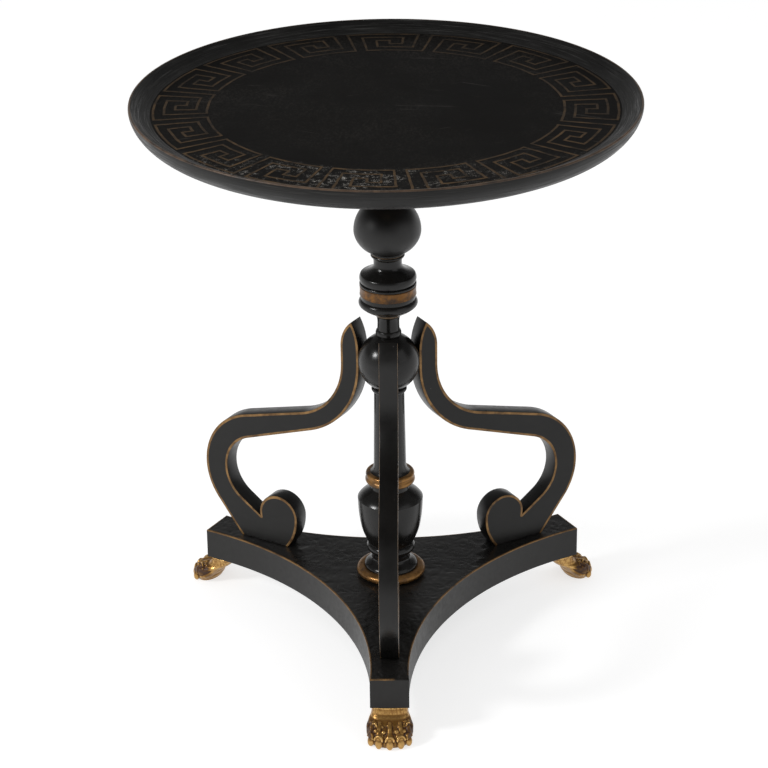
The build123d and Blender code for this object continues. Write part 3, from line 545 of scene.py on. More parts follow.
# The hollow value: varnish from each point's depth, a little more over the hair; the side term is
# painted shade down the paw's flanks, the cuff term is painted light up the cuff, and the paw is a
# little lighter behind.
varnish_and_painted_shade = []
for start, depth in zip(before, depths):
    share = start.z / paw_top
    front = kept((start.x - 0.2400) / 0.0060)
    hair = front * kept(1 - ((share - 0.55) / 0.17) ** 2)
    side = front * kept((abs(start.y) - 0.0150) / 0.0060) * kept(1 - ((share - 0.44) / 0.26) ** 2)
    cuff = kept((share - 0.64) / 0.16)
    varnish_and_painted_shade.append(kept(0.43 + depth / varnish_depth + 0.10 * hair + 0.34 * side - 0.12 * cuff
                        - 0.06 * (1 - front)))
carved.attributes.new("hollow", "FLOAT", "POINT").data.foreach_set("value", varnish_and_painted_shade)
carved.materials.clear()
carved.materials.append(gilt_carving)
carved.shade_smooth()
for corner, turn in corner_turns.items():
    placed = carved.copy()
    placed.transform(Matrix.Rotation(turn, 4, "Z"))
    paw = in_scene("carved_paw_" + corner, placed)
    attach(paw, "stand")
    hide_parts("paw_" + corner)

# ---------------------------------------------------------------- scrolled legs
# Three boards band-sawn to a double scroll, ebonised, with a gilt line run along both
# arrises of each side. Each is screwed up through the plinth and dowelled into the ball.
leg_half = 0.0105
leg_easing = 0.0008
leg_line_width = 0.0021
edge_spacing = 0.0004
side_spacing, side_margin = 0.0023, 0.0009
ball_level = 0.34479
upper_bend, upper_inner, upper_outer = (0.1352, 0.33199), 0.101, 0.0772
lower_bend, lower_outer, lower_inner = (0.174, 0.1625), 0.076, 0.046
volute, volute_radius, volute_notch = (0.1493, 0.1120), 0.026, -12
volute_tail, tail_radius = (0.1833, 0.1120), 0.060
leg_tip, leg_back_top, leg_outer_top = (0.0435, 0.38679), (0.0342, 0.35179), (0.0580, 0.35599)
leg_foot = (0.202, plinth_high)
black_edge = black_finish("black_edge", tone=0.0065, gloss=(0.26, 0.42), specks=0.45, level=0.34)
black_side = black_finish("black_side", tone=0.0075, gloss=(0.32, 0.48), grain=(0.25, 0.25, 1),
                          specks=0.45, level=0.28)
tree, shader, here, black = reopened(black_side)
from_edge = node(tree, "ShaderNodeAttribute", attribute_name="from_edge").outputs["Fac"]
waver = product(tree, noise_at(tree, here, 34, 2, 0.5), 0.0016)
line = between(tree, total(tree, from_edge, waver), leg_line_width + 0.0007,
               leg_line_width + 0.0011, 1, 0)
line = product(tree, line, between(tree, noise_at(tree, here, 30, 5, 0.7), 0.58, 0.70, 1, 0.30))
leaf = blend(tree, between(tree, noise_at(tree, here, 90, 4), 0.35, 0.65),
             (0.13, 0.070, 0.028, 1), (0.31, 0.178, 0.070, 1))
coloured(tree, shader, line, black, leaf)
tree.links.new(product(tree, line, 0.5), shader.inputs["Metallic"])


def crossing_angle(upper, upper_radius, lower, lower_radius):
    """Direction of the normal of the line that passes under one circle and over the other."""
    run, rise = upper[0] - lower[0], upper[1] - lower[1]
    return degrees(atan2(rise, run) - acos((upper_radius + lower_radius) / hypot(run, rise)))


def touching_angle(point, centre, radius):
    """Where a line from an outside point touches the far side of a circle."""
    run, rise = point[0] - centre[0], point[1] - centre[1]
    return degrees(atan2(rise, run) + acos(radius / hypot(run, rise)))


def upright_arc(foot, head):
    """Points along the arc that leaves a foot straight upwards and ends at a head."""
    run, rise = head[0] - foot[0], head[1] - foot[1]
    radius = (run * run + rise * rise) / (2 * abs(run))
    side = 1 if run > 0 else -1
    sweep = degrees(2 * atan2(abs(run), rise))
    centre = (foot[0] + side * radius, foot[1])
    return arc(centre, radius, 180, 180 - sweep) if side > 0 else arc(centre, radius, 0, sweep)


outer_run = crossing_angle(upper_bend, upper_outer, lower_bend, lower_outer)
inner_run = crossing_angle(upper_bend, upper_inner, lower_bend, lower_inner)
foot_touch = touching_angle(leg_foot, lower_bend, lower_outer)
notch = on_circle(volute, volute_radius, volute_notch)
notch_touch = touching_angle(notch, lower_bend, lower_inner)
volute_rise = volute[1] - plinth_high
tail_angle = 180 + degrees(atan2(volute_rise, sqrt(tail_radius**2 - volute_rise**2)))
contour = upright_arc(leg_back_top, leg_tip)
contour += upright_arc(leg_outer_top, leg_tip)[-2::-1]
contour += arc(upper_bend, upper_outer, 180, 180 + outer_run)
contour += arc(lower_bend, lower_outer, outer_run, foot_touch)
tail = arc(volute_tail, tail_radius, tail_angle, 180)
contour += [Vector(leg_foot).lerp(tail[0], step / 16) for step in range(16)] + tail
contour += arc(volute, volute_radius, 180, volute_notch)[1:]
contour += arc(lower_bend, lower_inner, notch_touch, inner_run)
contour += arc(upper_bend, upper_inner, 180 + inner_run, 180)
area = sum(a.x * b.y - b.x * a.y for a, b in zip(contour, contour[1:] + contour[:1]))
if area < 0:
    contour.reverse()

soft_arris = 0.3 * leg_easing
side = inset(contour, leg_easing)
rings = [
    (side, -leg_half, 0),
    (inset(contour, soft_arris), -leg_half + soft_arris, 1),
    (contour, -leg_half + leg_easing, 1),
    (contour, leg_half - leg_easing, 1),
    (inset(contour, soft_arris), leg_half - soft_arris, 0),
    (side, leg_half, 0),
]
# how far each point of a side lies from its lined edge, for the gilt line
lined = []
for a, b in zip(side, side[1:] + side[:1]):
    if max(a.y, b.y) > plinth_high + 0.002:
        steps = int((b - a).length / edge_spacing) + 1
        lined += [a.lerp(b, step / steps) for step in range(steps + 1)]
measure = KDTree(len(lined))
for i, point in enumerate(lined):
    measure.insert((*point, 0), i)
measure.balance()
rim = [measure.find((*point, 0))[2] for point in side]
measured = [(dot, measure.find((*dot, 0))[2]) for dot in dots_inside(side, side_spacing)]
measured = [(dot, distance) for dot, distance in measured if distance > side_margin]
dots = [dot for dot, _ in measured]
distances = rim * len(rings) + 2 * [distance for _, distance in measured]
corners_of_side = triangles(side, dots)
for corner, turn in corner_turns.items():
    mesh, loops = board(rings, lambda reach, level, aside: outward(turn, reach, level, aside),
                        closed_foot=False)
    for loop, aside in ((loops[0], -leg_half), (loops[-1], leg_half)):
        verts = loop + [mesh.verts.new(outward(turn, dot.x, dot.y, aside)) for dot in dots]
        for corners in corners_of_side:
            mesh.faces.new([verts[i] for i in corners])
    bmesh.ops.recalc_face_normals(mesh, faces=mesh.faces)
    leg = shown(mesh, "scrolled_leg_" + corner, [black_side, black_edge], "stand")
    leg.data.attributes.new("from_edge", "FLOAT", "POINT").data.foreach_set("value", distances)
    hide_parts("leg_" + corner)

# ---------------------------------------------------------------- turned pillar
# Turned in ten pieces that are glued tenon to socket: a foot and vase, a shaft, the ball that
# carries the legs, a neck with its cushion, a capital, the top ball and a head. Two rings and
# a band are gilt.
lathe_steps = 144
black_turned = black_finish("black_turned", tone=0.0065, gloss=(0.17, 0.31), grain=(1, 1, 0.3),
                            specks=0.35, level=0.33)
worn_line = gold_finish("worn_line", (0.22, 0.15, 0.09), (0.09, 0.06, 0.035),
                        (0.016, 0.013, 0.011), (0.46, 0.64))
gilt_turned = gold_finish("gilt_turned", (0.34, 0.175, 0.055), (0.13, 0.062, 0.020),
                          (0.035, 0.019, 0.009), (0.48, 0.66), metal=0.75, gloss=(0.24, 0.42),
                          scale=80)


def bead(radius, low, high, bulge, steps=14):
    """Half-round moulding in a turned profile."""
    middle, half = (low + high) / 2, (high - low) / 2
    sphere = (half * half + bulge * bulge) / (2 * bulge)
    reach = degrees(atan2(half, sphere - bulge))
    return [tuple(on_circle((radius - sphere, middle), sphere, -reach + 2 * reach * i / steps))
            for i in range(steps + 1)]


def sweep(first, last, leave, arrive, steps=16):
    """Smooth run of a turned profile that leaves and arrives in the given directions."""
    a, b = Vector(first), Vector(last)
    reach = (b - a).length
    u, v = Vector(leave).normalized() * reach, Vector(arrive).normalized() * reach
    points = []
    for i in range(steps + 1):
        t = i / steps
        points.append(tuple(a * (2 * t**3 - 3 * t**2 + 1) + u * (t**3 - 2 * t**2 + t)
                            + b * (3 * t**2 - 2 * t**3) + v * (t**3 - t**2)))
    return points


def lathe_loops(mesh, profile, steps):
    """A round of points for every point of a turned profile."""
    turns = [2 * pi * i / steps for i in range(steps)]
    return [[mesh.verts.new((r * cos(turn), r * sin(turn), z)) for turn in turns]
            for r, z in profile]


def turned(profile, name, materials, node_name, lines=(), crease=40):
    """A turned piece from its profile, foot to head, with lines of a second finish."""
    mesh = bmesh.new()
    clean = [profile[0]]
    for point in profile[1:]:
        if hypot(point[0] - clean[-1][0], point[1] - clean[-1][1]) > 1e-5:
            clean.append(point)
    loops = lathe_loops(mesh, clean, lathe_steps)
    for low, high, (_, a), (_, b) in zip(loops, loops[1:], clean, clean[1:]):
        wall(mesh, low, high, int(any(start <= (a + b) / 2 <= end for start, end in lines)))
    mesh.faces.new(loops[0][::-1])
    mesh.faces.new(loops[-1])
    piece = shown(mesh, name, materials, "stand", crease)
    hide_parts(node_name)


base_middle, base_bulge = 0.0335, 0.0065
ring_low, ring_high = plinth_high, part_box("base_ring")[1].z
half = (ring_high - ring_low) / 2
profile = [(base_middle + base_bulge * cos(radians(a)), ring_low + half + half * sin(radians(a)))
           for a in range(-90, 126, 9)]
turned(profile, "gilt_base_ring", [gilt_turned], "base_ring")

foot_low, waist_level, vase_bead_low, vase_bead_high = 0.0835, 0.0957, 0.1041, 0.1131
shoulder, dome_low, dome_high, vase_high = 0.1713, 0.1725, 0.1855, 0.1925
bead_root = 0.02575
profile = [(0.031, foot_low), (0.031, foot_low + 0.002)]
profile += sweep((0.031, foot_low + 0.002), (0.0218, waist_level), (-0.3, 1), (0, 1))
profile += sweep((0.0218, waist_level), (bead_root, vase_bead_low), (0, 1), (1, 0.6))
profile += bead(0.028, vase_bead_low, vase_bead_high, 0.028 - bead_root)
profile += [(0.0255, vase_bead_high)]
belly = vase_bead_high + 0.4 * (shoulder - vase_bead_high)
profile += sweep((0.0255, vase_bead_high), (0.0342, belly), (0.42, 1), (0.22, 1))
profile += sweep((0.0342, belly), (0.0378, shoulder), (0.22, 1), (0.03, 1))
profile += [(0.0378, dome_low)]
profile += sweep((0.0378, dome_low), (0.0225, dome_high), (-0.6, 1), (-0.6, 0.5))
profile += [(0.0225, dome_high + 0.0005), (0.0225, vase_high)]
turned(profile, "turned_vase", [black_turned], "vase", crease=30)

low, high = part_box("vase_ring")[0].z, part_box("vase_ring")[1].z
groove = low + 0.0074
profile = [(0.0232, low)] + bead(0.0288, low, groove, 0.0034)[3:-3]
profile += bead(0.0282, groove, high, 0.0030)[3:]
turned(profile, "gilt_vase_ring", [gilt_turned], "vase_ring", crease=55)

shaft_low, shaft_high = 0.2060, 0.3142
taper_low = shaft_low + 0.011
profile = [(0.0228, shaft_low)] + sweep((0.023, shaft_low), (0.0187, taper_low), (-1, 0.6), (0, 1))
profile += [(0.0187 - 0.0014 * i / 12, taper_low + 0.0912 * i / 12) for i in range(1, 13)]
profile += bead(0.0202, shaft_high - 0.006, shaft_high, 0.0029)
turned(profile, "turned_shaft", [black_turned], "shaft")

neck_low = 0.37729
scroll_radius = 0.035
lower, upper = [degrees(acos(reach / scroll_radius)) for reach in (0.017, 0.013)]
profile = [tuple(on_circle((0, ball_level), scroll_radius, -lower + (lower + upper) * i / 60))
           for i in range(61)]
turned(profile, "scroll_ball_turned", [black_turned], "scroll_ball")

cove, waist_high, cup_low, cushion_low = 0.38429, 0.40249, 0.40549, 0.41399
cushion_high, band_low = 0.42299, 0.42799
profile = bead(0.0146, neck_low, cove, 0.0010)
profile += sweep((0.0126, cove + 0.0006), (0.0142, waist_high), (0, 1), (0.5, 1))
profile += [(0.0158, waist_high + 0.0012), (0.0160, waist_high + 0.0020), (0.0158, cup_low)]
profile += sweep((0.0158, cup_low), (0.0306, cushion_low), (1, 0.35), (1, 1))
profile += bead(0.0334, cushion_low, cushion_high, 0.0028, 22)
profile += [(0.0310, cushion_high + 0.0008), (0.0310, band_low)]
turned(profile, "turned_neck", [black_turned, worn_line], "neck",
       lines=[(waist_high, cup_low), (cushion_low - 0.0009, cushion_low + 0.0002),
              (band_low - 0.0012, band_low)])

gilt_low, gilt_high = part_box("gilt_band")[0].z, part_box("gilt_band")[1].z
profile = [(0.0312, gilt_low), (0.0320, gilt_low + 0.0007), (0.0320, gilt_low + 0.0012),
           (0.0317, gilt_low + 0.0020), (0.0317, gilt_high - 0.0020),
           (0.0320, gilt_high - 0.0012), (0.0320, gilt_high - 0.0007), (0.0312, gilt_high)]
lacquered_band = gold_finish("lacquered_band", (0.25, 0.115, 0.032), (0.10, 0.045, 0.014),
                             (0.030, 0.016, 0.008), (0.46, 0.64), metal=0.75,
                             gloss=(0.26, 0.44), scale=80)
turned(profile, "gilt_cap_band", [lacquered_band], "gilt_band", crease=25)

disc, bead_low, bead_high = gilt_high + 0.003, gilt_high + 0.0038, gilt_high + 0.0134
neck_level, cap_low, cap_high = 0.46509, 0.47379, 0.48049
profile = bead(0.0322, gilt_high, disc, 0.00075, 6) + [(0.0298, disc), (0.0298, bead_low)]
profile += bead(0.0322, bead_low, bead_high, 0.0014, 18)
profile += sweep((0.0308, bead_high), (0.0159, neck_level), (-1, 0.35), (0, 1), 22)
profile += sweep((0.0159, neck_level), (0.0172, cap_low), (0, 1), (0.5, 1))
profile += [(0.0182, cap_low)] + bead(0.0192, cap_low, cap_low + 0.0030, 0.0010, 8)
profile += [(0.0180, cap_low + 0.0034)] + bead(0.0190, cap_low + 0.0037, cap_high, 0.0010, 8)
turned(profile, "turned_capital", [black_turned, worn_line], "capital",
       lines=[(cap_low - 0.0001, cap_low + 0.0008), (cap_low + 0.0030, cap_low + 0.0038)])

top_ball_level, head_low = 0.50559, 0.53767
top_ball_radius = 0.0378
upper = degrees(acos(0.020 / top_ball_radius))
profile = sweep((0.0194, cap_high), (top_ball_radius, top_ball_level), (1, 0.3), (0, 1), 30)
profile += [tuple(on_circle((0, top_ball_level), top_ball_radius, upper * i / 30))
            for i in range(1, 31)]
black_matt = black_finish("black_matt", tone=0.0060, gloss=(0.36, 0.50), grain=(1, 1, 0.3),
                          specks=0.3, level=0.42)
turned(profile, "top_ball_turned", [black_matt], "top_ball")

head_high = 0.58067
collar_low = head_high - 0.007
middle = (head_low + collar_low) / 2
profile = sweep((0.020, head_low), (0.017, middle), (-0.6, 1), (0.15, 1))
profile += sweep((0.017, middle), (0.030, collar_low), (0.15, 1), (1, 0.3))
profile += bead(0.030, collar_low, head_high, 0.001)
turned(profile, "turned_head", [black_turned], "pillar_head")

# ---------------------------------------------------------------- pivot block and bearers
# Sawn beech, stained brown under the top where it is seldom seen. The block is glued over the
# pillar's tenon, and two steel pins through the bearers let the top tip up on it.
stained_beech, tree, shader, here = new_finish("stained_beech")
grain = noise_at(tree, here, 60, 5, 0.6, (6, 0.6, 6))
pores = noise_at(tree, here, 260, 3, 0.6, (5, 0.4, 5))
colour = blend(tree, between(tree, grain, 0.3, 0.7), (0.060, 0.028, 0.013, 1),
               (0.125, 0.062, 0.030, 1))
coloured(tree, shader, between(tree, pores, 0.60, 0.72, 0, 0.6), colour, (0.025, 0.013, 0.008, 1))
tree.links.new(between(tree, grain, 0.3, 0.7, 0.45, 0.65), shader.inputs["Roughness"])
roughened(tree, shader, 0.15, 0.001, pores)


def metal_finish(name, bright, dull, gloss, scale=90):
    """Handled metal: tarnish in patches, fine scratches and a softer shine where it is dull."""
    material, tree, shader, here = new_finish(name)
    patches = noise_at(tree, here, scale, 5, 0.65)
    scratches = noise_at(tree, here, scale * 9, 2, 0.5, (1, 0.08, 1))
    coloured(tree, shader, between(tree, patches, 0.35, 0.7), (*bright, 1), (*dull, 1))
    shader.inputs["Metallic"].default_value = 1.0
    tree.links.new(between(tree, patches, 0.3, 0.75, *gloss), shader.inputs["Roughness"])
    roughened(tree, shader, 0.06, 0.0005, scratches)
    return material


dark_steel = metal_finish("dark_steel", (0.30, 0.29, 0.28), (0.12, 0.10, 0.09), (0.30, 0.55))
bolt_brass = metal_finish("bolt_brass", (0.62, 0.43, 0.18), (0.26, 0.16, 0.07), (0.22, 0.45))
screw_brass = metal_finish("screw_brass", (0.50, 0.36, 0.17), (0.20, 0.13, 0.06), (0.30, 0.55))
plain_beech, tree, shader, here = new_finish("plain_beech")
grain = noise_at(tree, here, 90, 5, 0.6, (5, 5, 0.6))
coloured(tree, shader, between(tree, grain, 0.3, 0.7), (0.42, 0.27, 0.15, 1), (0.55, 0.38, 0.22, 1))
tree.links.new(between(tree, grain, 0.3, 0.7, 0.5, 0.7), shader.inputs["Roughness"])


def finish_nodes(material, *names):
    """Gives nodes that keep their own shape their finish."""
    for name in names:
        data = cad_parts[name].data
        data.materials.clear()
        data.materials.append(material)


def eased(name, width, material, body):
    """A sawn piece with its arrises taken off, in the place of its node."""
    mesh = bmesh.new()
    mesh.from_mesh(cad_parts[name].data)
    bmesh.ops.remove_doubles(mesh, verts=mesh.verts, dist=1e-6)
    bmesh.ops.dissolve_limit(mesh, angle_limit=radians(1), verts=mesh.verts, edges=mesh.edges)
    piece = shown(mesh, "eased_" + name, [material], body, 30)
    bevel = piece.modifiers.new("eased", "BEVEL")
    bevel.width, bevel.segments = width, 2
    bevel.limit_method, bevel.angle_limit = "ANGLE", radians(40)
    bevel.use_clamp_overlap = True
    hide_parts(name)


eased("pivot_block", 0.0012, stained_beech, "stand")
eased("bearer_right", 0.0012, stained_beech, "top")
eased("bearer_left", 0.0012, stained_beech, "top")
finish_nodes(dark_steel, "pivot_pin_right", "pivot_pin_left")
for corner in corner_turns:
    finish_nodes(dark_steel, f"leg_screw_{corner}_1", f"leg_screw_{corner}_2")
    finish_nodes(plain_beech, f"leg_dowel_{corner}", f"paw_stud_{corner}")
for side in ("right", "left"):
    finish_nodes(dark_steel, *[f"bearer_screw_{side}_{number}" for number in (1, 2, 3)])

# ---------------------------------------------------------------- round top
# A wide disc turned with a raised dished rim, its flat painted matt black. The paint is crazed
# at the front and scratched all over, and the rim's upper arris is rubbed through to brown.
top_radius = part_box("table_top")[1].x
underside, rim_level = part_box("table_top")[0].z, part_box("table_top")[1].z
field_level = underside + 0.0185
field_radius = top_radius - 0.0235
underside_radius = top_radius - 0.024
rim_edge = 0.0025
top_steps = 288


def from_middle(tree, here):
    """A point's coordinates, and how far it lies from the middle of the top."""
    parts = node(tree, "ShaderNodeSeparateXYZ", {"Vector": here}).outputs
    flat = node(tree, "ShaderNodeCombineXYZ", {"X": parts["X"], "Y": parts["Y"]}).outputs["Vector"]
    return parts, node(tree, "ShaderNodeVectorMath", {0: flat}, operation="LENGTH").outputs["Value"]


black_field, tree, shader, here = new_finish("black_field")
clouds = noise_at(tree, here, 9, 5, 0.65)
fine = noise_at(tree, here, 320, 4, 0.6)
colour = blend(tree, between(tree, clouds, 0.3, 0.75), (0.0030, 0.0026, 0.0022, 1),
               (0.0066, 0.0058, 0.0051, 1))
parts, radius = from_middle(tree, here)
front = product(tree, between(tree, parts["Y"], -0.13, -0.20), between(tree, radius, 0.187, 0.200))
front = product(tree, front, between(tree, parts["X"], 0.10, 0.02, 0.45, 1.0))
bare_patches = total(tree, noise_at(tree, here, 52, 5, 0.7),
                     between(tree, clouds, 0.3, 0.7, -0.06, 0.06))
chalky = product(tree, between(tree, bare_patches, 0.45, 0.62), front)
flecks = node(tree, "ShaderNodeTexVoronoi", {"Vector": here, "Scale": 640.0},
              feature="DISTANCE_TO_EDGE")
crazed = between(tree, flecks.outputs["Distance"], 0.02, 0.10, 1, 0)
crazed = product(tree, crazed, between(tree, noise_at(tree, here, 230, 3, 0.75), 0.50, 0.60))
chalky = product(tree, crazed, chalky)
colour = blend(tree, product(tree, chalky, 0.95), colour, (0.62, 0.59, 0.54, 1))
sparse = between(tree, noise_at(tree, here, 24, 4, 0.7), 0.66, 0.76)
sparse = product(tree, crazed, sparse)
colour = blend(tree, product(tree, sparse, 0.35), colour, (0.20, 0.18, 0.15, 1))
for turn, scale in ((1.15, 16), (1.5, 13), (1.95, 18)):
    along = node(tree, "ShaderNodeMapping", {
        "Vector": here, "Rotation": (0, 0, turn), "Scale": (1, 28, 1),
    }, vector_type="TEXTURE")
    thread = noise_at(tree, along.outputs["Vector"], scale * 22, 2, 0.5)
    scratch = product(tree, between(tree, thread, 0.715, 0.735),
                      between(tree, noise_at(tree, here, scale, 3, 0.6), 0.5, 0.62))
    colour = blend(tree, product(tree, scratch, 0.30), colour, (0.13, 0.12, 0.11, 1))
haze = product(tree, between(tree, noise_at(tree, here, 420, 3, 0.7, (1, 0.5, 1)), 0.45, 0.75),
               between(tree, noise_at(tree, here, 7, 3, 0.6), 0.40, 0.66))
coloured(tree, shader, product(tree, haze, 0.50), colour, (0.044, 0.039, 0.034, 1))
tree.links.new(between(tree, clouds, 0.3, 0.75, 0.50, 0.62), shader.inputs["Roughness"])
shader.inputs["Specular IOR Level"].default_value = 0.05
roughened(tree, shader, 0.10, 0.0006, fine)
black_rim = black_finish("black_rim", tone=0.0055, gloss=(0.33, 0.50), specks=0.5, level=0.24)
tree, shader, here, black = reopened(black_rim)
parts, radius = from_middle(tree, here)
# turning lines round the rim: they vary the roughness, and the lighter grey streaks they lay into the
# colour are painted highlight
bearing = worked(tree, "ARCTAN2", parts["Y"], parts["X"])
lathe_lines_and_painted_sheen = noise_at(tree, node(tree, "ShaderNodeCombineXYZ", {
    "X": product(tree, radius, 900.0), "Y": product(tree, bearing, 5.0),
    "Z": product(tree, parts["Z"], 400.0),
}).outputs["Vector"], 1.0, 3, 0.6)
tree.links.new(between(tree, lathe_lines_and_painted_sheen, 0.32, 0.68, 0.24, 0.66), shader.inputs["Roughness"])
coloured(tree, shader, between(tree, lathe_lines_and_painted_sheen, 0.52, 0.72, 0, 0.85), black,
         (0.042, 0.041, 0.039, 1))
worn_arris = gold_finish("worn_arris", (0.13, 0.085, 0.055), (0.055, 0.034, 0.022),
                         (0.022, 0.018, 0.015), (0.48, 0.66), metal=0.15, gloss=(0.35, 0.5))
edge_low = rim_level - 0.003
profile = sweep((underside_radius, underside), (top_radius, edge_low), (1, 0.25), (0.12, 1), 20)
profile += [(top_radius, rim_level - 0.0016), (top_radius - 0.0002, rim_level - 0.0007),
            (top_radius - 0.0008, rim_level - 0.0001), (top_radius - 0.0014, rim_level)]
profile += sweep((top_radius - rim_edge, rim_level - 0.0001), (field_radius, field_level),
                 (-1, -0.75), (-1, -0.12), 24)
profile += [(share * field_radius, field_level) for share in (0.97, 0.8, 0.6, 0.4, 0.2, 0.02)]
mesh = bmesh.new()
loops = lathe_loops(mesh, profile, top_steps)
for low, high, (_, a), (inner_radius, b) in zip(loops, loops[1:], profile, profile[1:]):
    band = 0
    if inner_radius < field_radius + 1e-6 and b < field_level + 1e-6 and a < field_level + 1e-6:
        band = 2
    elif (a + b) / 2 > rim_level - 0.0012 and inner_radius > top_radius - 0.0030:
        band = 1
    wall(mesh, low, high, band)
mesh.faces.new(loops[0][::-1])
mesh.faces.new(loops[-1]).material_index = 2
dished_top = shown(mesh, "dished_top", [black_rim, worn_arris, black_field], "top", 50)
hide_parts("table_top")

# ---------------------------------------------------------------- Greek key border
# Painted round the flat in dull gold size, one hooked unit after another, laid out by eye so
# that the units drift a little. Each unit is painted from the one before without a break.
key_units = 16
key_inner, key_outer = 0.1945, 0.2530
key_line = 0.0027
key_height = 0.00012
unit_length, unit_depth = 6, 5
key_corners = [(0, 5), (0, 0), (5, 0), (5, 4), (2, 4), (2, 2), (3, 2), (3, 3), (4, 3), (4, 1),
               (1, 1), (1, 5), (6, 5)]
key_pitch = 2 * pi * 0.5 * (key_inner + key_outer) / key_units / unit_length
half_across = key_line / 2 / key_pitch
half_along = key_line / 2 / ((key_outer - key_inner) / unit_depth)
mesh = bmesh.new()
knots, runs = set(), set()
for (ax, ay), (bx, by) in zip(key_corners, key_corners[1:]):
    count = max(abs(bx - ax), abs(by - ay))
    step = ((bx - ax) // count, (by - ay) // count)
    path = [(ax + step[0] * i, ay + step[1] * i) for i in range(count + 1)]
    knots.update(path)
    runs.update(tuple(sorted(pair)) for pair in zip(path, path[1:]))
knots.discard((unit_length, unit_depth))


def patch(left, low, right, high, across, up):
    """A flat strip of the border, divided so that it can bend."""
    grid = [[mesh.verts.new((left + (right - left) * i / across, low + (high - low) * j / up, 0))
             for i in range(across + 1)] for j in range(up + 1)]
    for j in range(up):
        for i in range(across):
            mesh.faces.new((grid[j][i], grid[j][i + 1], grid[j + 1][i + 1], grid[j + 1][i]))


for x, y in knots:
    patch(x - half_across, y - half_along, x + half_across, y + half_along, 1, 1)
for (ax, ay), (bx, by) in runs:
    if ay == by:
        patch(ax + half_across, ay - half_along, bx - half_across, ay + half_along, 5, 1)
    else:
        patch(ax - half_across, ay + half_along, ax + half_across, by - half_along, 1, 4)
bmesh.ops.remove_doubles(mesh, verts=mesh.verts, dist=1e-5)
unit_data = bpy.data.meshes.new("key_unit")
mesh.to_mesh(unit_data)
mesh.free()
unit = in_scene("key_unit", unit_data)

old_gold = gold_finish("old_gold", (0.125, 0.076, 0.036), (0.058, 0.038, 0.020),
                       (0.011, 0.010, 0.009), (0.50, 0.70), metal=0.0, gloss=(0.45, 0.6),
                       scale=90, level=0.06)
tree, shader, here, gold = reopened(old_gold)
# the key is painted darker towards the back of the top, a painted shade, and rubbed back in patches
# by noise, which is wear
parts = node(tree, "ShaderNodeSeparateXYZ", {"Vector": here}).outputs
wear_and_painted_shade = product(tree, between(tree, parts["Y"], 0.16, -0.16, 0.50, 1.0),
                between(tree, noise_at(tree, here, 28, 4, 0.65), 0.34, 0.62, 1.0, 0.45))
coloured(tree, shader, wear_and_painted_shade, (0.012, 0.011, 0.010, 1), gold)
border = bpy.data.node_groups.new("key_border", "GeometryNodeTree")
for name, kind, value in (
    ("Geometry", "NodeSocketGeometry", None), ("Units", "NodeSocketInt", key_units),
    ("Inner radius", "NodeSocketFloat", key_inner), ("Outer radius", "NodeSocketFloat", key_outer),
    ("Start", "NodeSocketFloat", radians(-83.25)), ("Drift", "NodeSocketFloat", radians(2.0)),
    ("Unevenness", "NodeSocketFloat", 0.035), ("Thickness", "NodeSocketFloat", key_height),
    ("Level", "NodeSocketFloat", field_level), ("Finish", "NodeSocketMaterial", old_gold),
):
    socket = border.interface.new_socket(name, in_out="INPUT", socket_type=kind)
    if value is not None:
        socket.default_value = value
border.interface.new_socket("Geometry", in_out="OUTPUT", socket_type="NodeSocketGeometry")
given = border.nodes.new("NodeGroupInput").outputs
row = node(border, "GeometryNodeMeshLine", {"Count": given["Units"], "Offset": (unit_length, 0, 0)})
placed = node(border, "GeometryNodeInstanceOnPoints", {
    "Points": row.outputs["Mesh"], "Instance": given["Geometry"],
})
strip = node(border, "GeometryNodeRealizeInstances", {"Geometry": placed.outputs["Instances"]})
strip = node(border, "GeometryNodeMergeByDistance", {
    "Geometry": strip.outputs["Geometry"], "Distance": 1e-4,
})
where = node(border, "GeometryNodeInputPosition").outputs["Position"]
ripple = node(border, "ShaderNodeTexNoise", {"Vector": where, "Scale": 0.9, "Detail": 2.0})
centred = node(border, "ShaderNodeVectorMath", {0: ripple.outputs["Color"], 1: (0.5, 0.5, 0.5)},
               operation="SUBTRACT")
shift = node(border, "ShaderNodeVectorMath", {0: centred.outputs[0], "Scale": 0.0}, operation="SCALE")
border.links.new(product(border, given["Unevenness"], 4.0), shift.inputs["Scale"])
uneven = node(border, "ShaderNodeVectorMath", {0: where, 1: shift.outputs[0]}, operation="ADD")
flat = node(border, "ShaderNodeSeparateXYZ", {"Vector": uneven.outputs[0]}).outputs
around = worked(border, "DIVIDE", product(border, flat["X"], 2 * pi / unit_length), given["Units"])
there_and_back = worked(border, "SUBTRACT", 1.0, worked(border, "COSINE", around))
wander = product(border, there_and_back, given["Drift"])
bearing = total(border, total(border, around, given["Start"]), wander)
span = worked(border, "SUBTRACT", given["Outer radius"], given["Inner radius"])
depth = worked(border, "DIVIDE", product(border, flat["Y"], span), unit_depth)
reach = total(border, depth, given["Inner radius"])
east = product(border, reach, worked(border, "COSINE", bearing))
north = product(border, reach, worked(border, "SINE", bearing))
on_field = node(border, "ShaderNodeCombineXYZ", {"X": east, "Y": north, "Z": given["Level"]})
ring = node(border, "GeometryNodeSetPosition", {
    "Geometry": strip.outputs["Geometry"], "Position": on_field.outputs["Vector"],
})
ring = node(border, "GeometryNodeMergeByDistance", {
    "Geometry": ring.outputs["Geometry"], "Distance": 1e-5,
})
lift = node(border, "ShaderNodeCombineXYZ", {"Z": given["Thickness"]})
raised = node(border, "GeometryNodeExtrudeMesh", {
    "Mesh": ring.outputs["Geometry"], "Offset": lift.outputs["Vector"],
    "Offset Scale": 1.0, "Individual": False,
})
under = node(border, "GeometryNodeFlipFaces", {"Mesh": ring.outputs["Geometry"]})
both = node(border, "GeometryNodeJoinGeometry")
border.links.new(raised.outputs["Mesh"], both.inputs["Geometry"])
